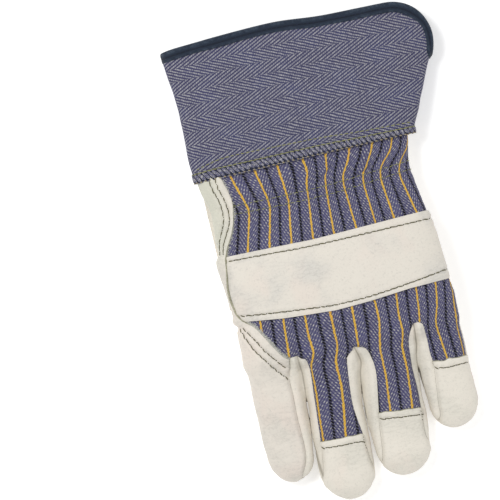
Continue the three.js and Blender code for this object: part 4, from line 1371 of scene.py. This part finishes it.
corner_line = np.array(CORNER_MIDDLE) + (CORNER_RADIUS - EDGE_INSET) * np.stack(
    [np.cos(turn), np.sin(turn)], axis=1
)
cuff_outline = np.vstack([
    mouth[:-1], corner_line, [(120, NOTCH_HEIGHT), (120, -20), (-90, -20)],
])
cuff_map = np.stack([cuff_run.ravel(), cuff_points[:, 1]], axis=1)
cuff_surface = (cuff_points, cuff_normals, cuff_faces)
cuff_gap = outline_distance(cuff_outline, cuff_points[:, 0], cuff_points[:, 1])
cuff_data, cuff_cut = sewn_sheet("cuff", cuff_surface, 0, cuff_gap, CUFF_WALL, cuff_cloth,
                                 cuff_map)

# %% [markdown]
# Bias tape is folded over the mouth's raw edge. Its path is the very edge that the cut left on
# the cuff, so it follows both layers round the corner and into the notch. A section of the folded
# tape is carried along that path: a bevelled curve would twist at the notch.

# %% Binding
def chains_of(edges):
    """The edges as chains of points, in order."""
    following = dict(edges.tolist())
    chains = []
    while following:
        first, step = next(iter(following.items()))
        chain = [first]
        while step in following:
            chain.append(step)
            del following[chain[-2]]
            step = following[step]
        following.pop(chain[-1], None)
        chains.append(chain)
    return chains


def even_path(points, normals, step):
    """A closed path with its normals, at even steps and slightly smoothed."""
    ring = np.vstack([points, points[:1]])
    run = lengths_along(ring)
    count = int(run[-1] / step)
    even = np.arange(count) * run[-1] / count
    made = read_off(even, run, ring)
    facing = read_off(even, run, np.vstack([normals, normals[:1]]))
    for _ in range(4):
        made, facing = (
            (np.roll(v, 1, 0) + 2 * v + np.roll(v, -1, 0)) / 4 for v in (made, facing)
        )
    along = unit(np.roll(made, -1, 0) - np.roll(made, 1, 0))
    return made, along, unit(upright(facing, along)), even


def sweep(path, across, facing, section, widths):
    """Points and faces of a closed section carried round a closed path."""
    section = np.array(section)
    flat = section[None, :, 0:1] * np.broadcast_to(widths, len(path))[:, None, None]
    points = path[:, None] + across[:, None] * flat + facing[:, None] * section[None, :, 1:2]
    faces = tube_faces(*points.shape[:2], closed=True)
    points = points.reshape(-1, 3)
    return points, turned_out(points, faces)


mouth_loop = max(chains_of(open_edges(cuff_cut)), key=lambda loop: cuff_data[loop, 1].max())
path, along, facing, run = even_path(cuff_data[mouth_loop, :3], cuff_data[mouth_loop, 3:6], 1.2)
outward = np.cross(along, facing)
TAPE_SECTION = [
    (-5.2, -0.3), (-5.25, 0.75), (-4.9, 1.02), (-3.9, 1.12), (-2.9, 0.98), (-1.9, 1.14),
    (-0.6, 1.1), (0.3, 0.8), (0.75, 0.1), (0.9, -0.7), (0.75, -1.5), (0.3, -2.2), (-0.6, -2.5),
    (-1.9, -2.54), (-2.9, -2.38), (-3.9, -2.52), (-4.9, -2.42), (-5.25, -2.15), (-5.2, -1.1),
]
tape_width = 1 - 0.3 * smooth_step(60, 76, path[:, 0]) * smooth_step(66, 56, path[:, 1])
tape_wave = 1 + 0.05 * ripple(path, 16, 41)
points, faces = sweep(path, outward, facing, TAPE_SECTION, tape_width * tape_wave)
tape_map = np.stack(np.meshgrid(run, [row[0] for row in TAPE_SECTION], indexing="ij"), axis=-1)
tape_map = tape_map.reshape(-1, 2)
add_piece("cuff_binding", above_floor(points), faces, binding_tape,
          "cuff_binding_back cuff_binding_palm", {"weave": tape_map})
print("binding", round(run[-1]), "mm long,", len(faces), "triangles")

# %% [markdown]
# Stitches are small bent capsules in a row. As bumps in a finish they would vanish from the side
# and from the mesh itself, so each one is real: its ends go down into its holes and its middle
# stands proud. One mesh holds a whole row.

# %% Rows of stitches
def capsules(centres, along, facing, length, radius, bow=1.0, flat=1.0):
    """Many small stitches as one mesh, each with its ends bent down."""
    turns = np.linspace(0, 2 * math.pi, 6, endpoint=False)
    places = np.array([-1, -0.9, -0.6, -0.2, 0.2, 0.6, 0.9, 1])
    thick = np.sqrt(np.clip(1 - np.abs(places) ** 3, 0.02, 1))
    side = np.cross(along, facing)
    size = len(centres)
    length = np.broadcast_to(length, size)[:, None, None, None]
    reach = places[None, :, None, None] * length / 2
    drop = -(places[None, :, None, None] ** 2) * radius * bow
    ring = thick[None, :, None, None] * radius
    cosine, sine = np.cos(turns)[None, None, :, None], np.sin(turns)[None, None, :, None]
    points = (
        centres[:, None, None] + along[:, None, None] * reach
        + facing[:, None, None] * (drop + ring * sine * flat) + side[:, None, None] * ring * cosine
    )
    rows, columns = len(places), len(turns)
    fan = np.arange(1, columns - 1)
    first = np.stack([np.zeros_like(fan), fan + 1, fan], axis=1)
    last = first[:, [0, 2, 1]] + (rows - 1) * columns
    one = np.concatenate([tube_faces(rows, columns), first, last])
    faces = one[None] + (np.arange(size) * rows * columns)[:, None, None]
    points, faces = points.reshape(-1, 3), faces.reshape(-1, 3)
    return points, turned_out(points, faces)


def walk(line, step, start=0.5):
    """Places and directions at even steps along a line in the plan."""
    run = lengths_along(line)
    at = np.arange(step * start, run[-1], step)
    place, ahead, back = (read_off(at + shift, run, line) for shift in (0, 0.5, -0.5))
    return place, ahead - back


def dropped(name, line_points, from_above=True):
    """Points of a line dropped onto a piece's surface, with its normals, where it is hit."""
    places, normals, hit = [], [], []
    down = Vector((0, 0, -1 if from_above else 1))
    for place_x, place_y in line_points:
        start = Vector((place_x, place_y, 80 if from_above else -80))
        place, normal, _, _ = surfaces[name].ray_cast(start, down)
        hit.append(place is not None)
        places.append(place or start)
        normals.append(normal or Vector((0, 0, 1)))
    normals = np.array(normals)
    flip = np.sign(normals[:, 2:]) * (1 if from_above else -1)
    return np.array(places), normals * np.where(flip == 0, 1, flip), np.array(hit)


def stitch_row(name, on, line, length, gap, radius, finish, above=True, skew=0.0,
               sink=0.25, bow=1.0, seed=0, start=0.5):
    """A row of stitches along a line in the plan, dropped onto a piece."""
    random = np.random.default_rng(seed + 100)
    place, ahead = walk(smooth_line(line), length + gap, start)
    centre, facing, hit = dropped(on, place, above)
    centre, facing, ahead = centre[hit], facing[hit], ahead[hit]
    along = unit(upright(np.hstack([ahead, np.zeros((len(ahead), 1))]), facing))
    angle = math.radians(skew) + random.normal(size=len(along)) * 0.06
    side = np.cross(facing, along)
    along = along * np.cos(angle)[:, None] + side * np.sin(angle)[:, None]
    lengths = length * (1 + 0.12 * random.normal(size=len(along)))
    centre = centre + facing * radius * (1 - sink)
    points, faces = capsules(centre, along, facing, lengths, radius, bow)
    add_piece(name, above_floor(points, 0.02), faces, finish, None)
    print(name, len(centre), "stitches")


tape_line = path + outward * -2.7 * tape_width[:, None] + facing * 0.98
tape_places = np.arange(0, run[-1], 2.9)
centre, ahead, up = (read_off(tape_places, run, v) for v in (tape_line, along, facing))
points, faces = capsules(centre, ahead, up, 2.3, 0.2)
add_piece("binding_stitches", points, faces, navy_thread, None)


def topstitching(name, on, line, seed, stitch=3.5, radius=0.27):
    """A row of long stitches in the leather, with the holes that they go down in darkened by
    painted shade.
    """
    gap = 0.15
    hole = 0.7
    stitch_row(name, on, line, stitch, gap, radius, olive_thread, skew=-9, seed=seed)
    stitch_row(f"{name}_holes", on, line, hole, stitch + gap - hole, radius * 1.15, shaded_hole_thread,
               skew=-24, sink=0.6, seed=seed + 200, start=1.0)


for kind, on, lines, seed, radius in (
    ("wrap", "palm", WRAP_STITCHES, 0, 0.27), ("index", "palm", LAP_STITCHES, 5, 0.27),
    ("strap", "knuckle_strap", STRAP_STITCHES, 10, 0.3),
):
    for number, line in enumerate(lines):
        topstitching(f"{kind}_stitches_{number + 1}", on, line, seed + number, radius=radius)
for number, (cap, edge) in enumerate(CAP_EDGES.items()):
    line = np.vstack([edge[::6], edge[-1:]]) + [0.1, -CAP_STITCH_INSET]
    topstitching(f"{cap}_stitches", cap, line, 20 + number, stitch=3.0)
TIP_STITCHES = [
    ("index_tip_stitches", "palm", [(-37.6, -161.5), (-38.9, -165.4), (-42.4, -171.6)]),
    ("middle_tip_stitches", "middle_cap", [(-4.4, -156.8), (-4.5, -160), (-4.2, -164)]),
    ("ring_tip_stitches", "ring_cap", [(29.9, -150.4), (29.7, -153.5), (29.5, -157)]),
]
for number, (name, on, line) in enumerate(TIP_STITCHES):
    stitch_row(name, on, line, 0.7, 0.9, 0.22, olive_thread, skew=70, seed=60 + number)


def loose_fibres(name, line, side, count, finish, seed):
    """Loose fibres of the flesh side that lie out over the cloth from a raw edge."""
    random = np.random.default_rng(seed)
    line = smooth_line(line)
    place, ahead = walk(line, 0.25)
    pick = random.integers(0, len(place), count)
    ahead = unit(ahead[pick])
    out = np.stack([-ahead[:, 1], ahead[:, 0]], axis=1) * side
    lengths = random.uniform(0.7, 2.6, count)
    turn = random.normal(size=count) * 0.6
    direction = out * np.cos(turn)[:, None] + ahead * np.sin(turn)[:, None]
    start = place[pick] + out * random.uniform(-0.7, 0.1, count)[:, None]
    centre, facing, hit = dropped("back_cloth", start + direction * lengths[:, None] * 0.4)
    along = np.hstack([direction, random.normal(size=(count, 1)) * 0.12])
    along = unit(upright(along, facing, 0.7))
    centre = centre + facing * random.uniform(0.1, 0.9, count)[:, None]
    points, faces = capsules(centre[hit], along[hit], facing[hit], lengths[hit], 0.07)
    add_piece(name, points, faces, finish, None)
    print(name, int(hit.sum()), "fibres")


loose_fibres("lap_fibres", INDEX_LAP, 1, 900, welt_leather, 71)
loose_fibres("wrap_fibres", WRAP_EDGE[1:], 1, 420, welt_leather, 72)
ELASTIC_ROWS = [
    [(-46, -17.4), (-20, -18.2), (10, -18.2), (35, -16.8), (56, -15.4)],
    [(-46, -22), (-20, -23.1), (10, -23.3), (35, -21.8), (56, -20.2)],
]
for number, line in enumerate(ELASTIC_ROWS):
    stitch_row(f"elastic_stitches_{number + 1}", "back_cloth", line, 2.8, 0.4, 0.22, lime_thread,
               sink=0.2, bow=0.5, seed=30 + number)

# %% [markdown]
# The cuff is joined to the hand by an overlocked seam that shows as a rope-like band: slanting
# pale loops over navy thread, a row of sandy beads along its lower edge and two fine lime lines
# above it. The band is carried round the wrist, and each loop is a fat stitch laid across it.

# %% Wrist hem
HEM_LOW = [(-63, -0.5), (0, -0.5), (63, -1.1)]
HEM_HIGH = [(-61.3, 4.4), (-49, 4.9), (-28.9, 4.6), (9.7, 4.1), (32.1, 3.1), (62.1, 2.3)]
LOOP_PITCH = 2.75
ring = tube_grid(CUFF, np.array([1.5]), 400)[0][0]
low_edge = np.interp(ring[:, 0], *np.array(HEM_LOW).T)
high_edge = np.interp(ring[:, 0], *np.array(HEM_HIGH).T)
ring[:, 1] = (low_edge + high_edge) / 2
ring_along = unit(np.roll(ring, -1, 0) - np.roll(ring, 1, 0))
ring_across = np.tile([0.0, 1.0, 0.0], (len(ring), 1))
ring_facing = unit(np.cross(ring_along, ring_across))
if (ring_facing[:, 2] * (ring[:, 2] - 16)).sum() < 0:
    ring_facing = -ring_facing
HEM_SECTION = [
    (-0.5, -1.9), (-0.52, -0.6), (-0.5, 0.2), (-0.38, 0.45), (-0.12, 0.55), (0.15, 0.55),
    (0.38, 0.45), (0.5, 0.2), (0.5, -0.6), (0.3, -1.0), (-0.3, -1.6),
]
hem_width = high_edge - low_edge
points, faces = sweep(ring, ring_across, ring_facing, HEM_SECTION, hem_width)
add_piece("cuff_hem", points, faces, navy_thread, "cuff_hem")


def around_wrist(name, pitch, shift, length, radius, finish, angle, offset, height, bow=1.0,
                 flat=1.0):
    """Stitches round the wrist at a share of the hem's width from its middle."""
    run = lengths_along(np.vstack([ring, ring[:1]]))
    count = int(round(run[-1] / pitch))
    at = (np.arange(count) + shift) * run[-1] / count % run[-1]
    centre, along, facing, width = (
        read_off(at, run, np.vstack([v, v[:1]]))
        for v in (ring, ring_along, ring_facing, hem_width[:, None])
    )
    along, facing = unit(along), unit(facing)
    rightward = along * np.sign((along[:, :1] * facing[:, 2:]) + 1e-9)
    random = np.random.default_rng(int(pitch * 100) + int(shift * 10))
    lean = math.radians(angle) + random.normal(size=count) * 0.1
    across = np.tile([0.0, 1.0, 0.0], (count, 1))
    direction = rightward * np.cos(lean)[:, None] + across * np.sin(lean)[:, None]
    centre = centre + across * width * offset + facing * height
    lengths = length if length > 0 else -length * width[:, 0]
    points, faces = capsules(centre, direction, facing, lengths, radius, bow, flat)
    add_piece(name, points, faces, finish, None)
    print(name, count, "stitches")


around_wrist("hem_loops", LOOP_PITCH, 0.0, -1.2, 1.08, hem_yarn, -50, 0.02, 0.5, 0.35, 0.4)
around_wrist("hem_beads", LOOP_PITCH, 0.45, 1.6, 0.42, sand_thread, -12, -0.5, 0.3)
around_wrist("hem_edge_thread", 2.9, 0.2, 2.9, 0.3, lime_thread, 0, 0.48, 0.55)
HEM_UPPER_LINE = [
    (-60, 6.4), (-50, 8.6), (-39.8, 9.6), (-15, 8.9), (10.7, 7.9), (32.9, 6.2), (60, 4.9),
]
stitch_row("hem_line_stitches", "cuff", HEM_UPPER_LINE, 2.4, 0.5, 0.27, lime_thread,
           sink=0.4, seed=40)

# %% [markdown]
# On the palm side of the cuff a leather patch guards the pulse. It lies against the cuff's lower
# layer, so it is cut from the cuff's own grid, like the strap from the hand.

# %% Pulse patch
PATCH_OUTLINE = [
    (-9.5, 3.2), (-10.5, 8), (-11.2, 16), (-9.2, 24), (-4.5, 29), (3, 31.4), (22, 31.8),
    (42, 31.2), (50, 28.4), (54.6, 23), (56, 16), (55.6, 8), (55, 3.2),
]
PATCH_MIDDLE = (22.4, 15.0)
PATCH_STITCH_INSET = 2.6
patch_gap = outline_distance(smooth_line(PATCH_OUTLINE), cuff_points[:, 0], cuff_points[:, 1])
patch_value = np.maximum(patch_gap, cuff_normals[:, 2] + 0.2)
patch_height = 1.35 - 0.3 * hump(patch_gap + PATCH_STITCH_INSET, 0.7)
patch_height = np.minimum(patch_height, cuff_points[:, 2] - 0.1)
sewn_sheet("cuff_patch", cuff_surface, patch_height, patch_value, STRAP_THICKNESS, cream_leather,
           weave=cuff_map, flare=0.2, rim_finish=raw_edge)
patch_line = np.array(PATCH_OUTLINE)[1:-1]
patch_line = patch_line + unit(np.array(PATCH_MIDDLE) - patch_line) * PATCH_STITCH_INSET
stitch_row("patch_stitches", "cuff_patch", patch_line, 2.1, 0.5, 0.22, olive_thread, above=False,
           seed=50)

# %% [markdown]
# The floor is a plain pale sheet just under the glove, and is not part of it.

# %% Floor and the end
floor_mesh = bpy.data.meshes.new("floor")
half = 3.0
floor_mesh.from_pydata(
    [(-half, -half, 0), (half, -half, 0), (half, half, 0), (-half, half, 0)], [], [(0, 1, 2, 3)]
)
floor = bpy.data.objects.new("floor", floor_mesh)
floor_paint = Finish("pale_floor")
floor_mesh.materials.append(
    floor_paint.finish(
        paint(253, 253, 253), 0.9, None, Specular_IOR_Level=0.1, Emission_Strength=0.3,
        Emission_Color=(1, 1, 1, 1),
    )
)
bpy.context.collection.objects.link(floor)
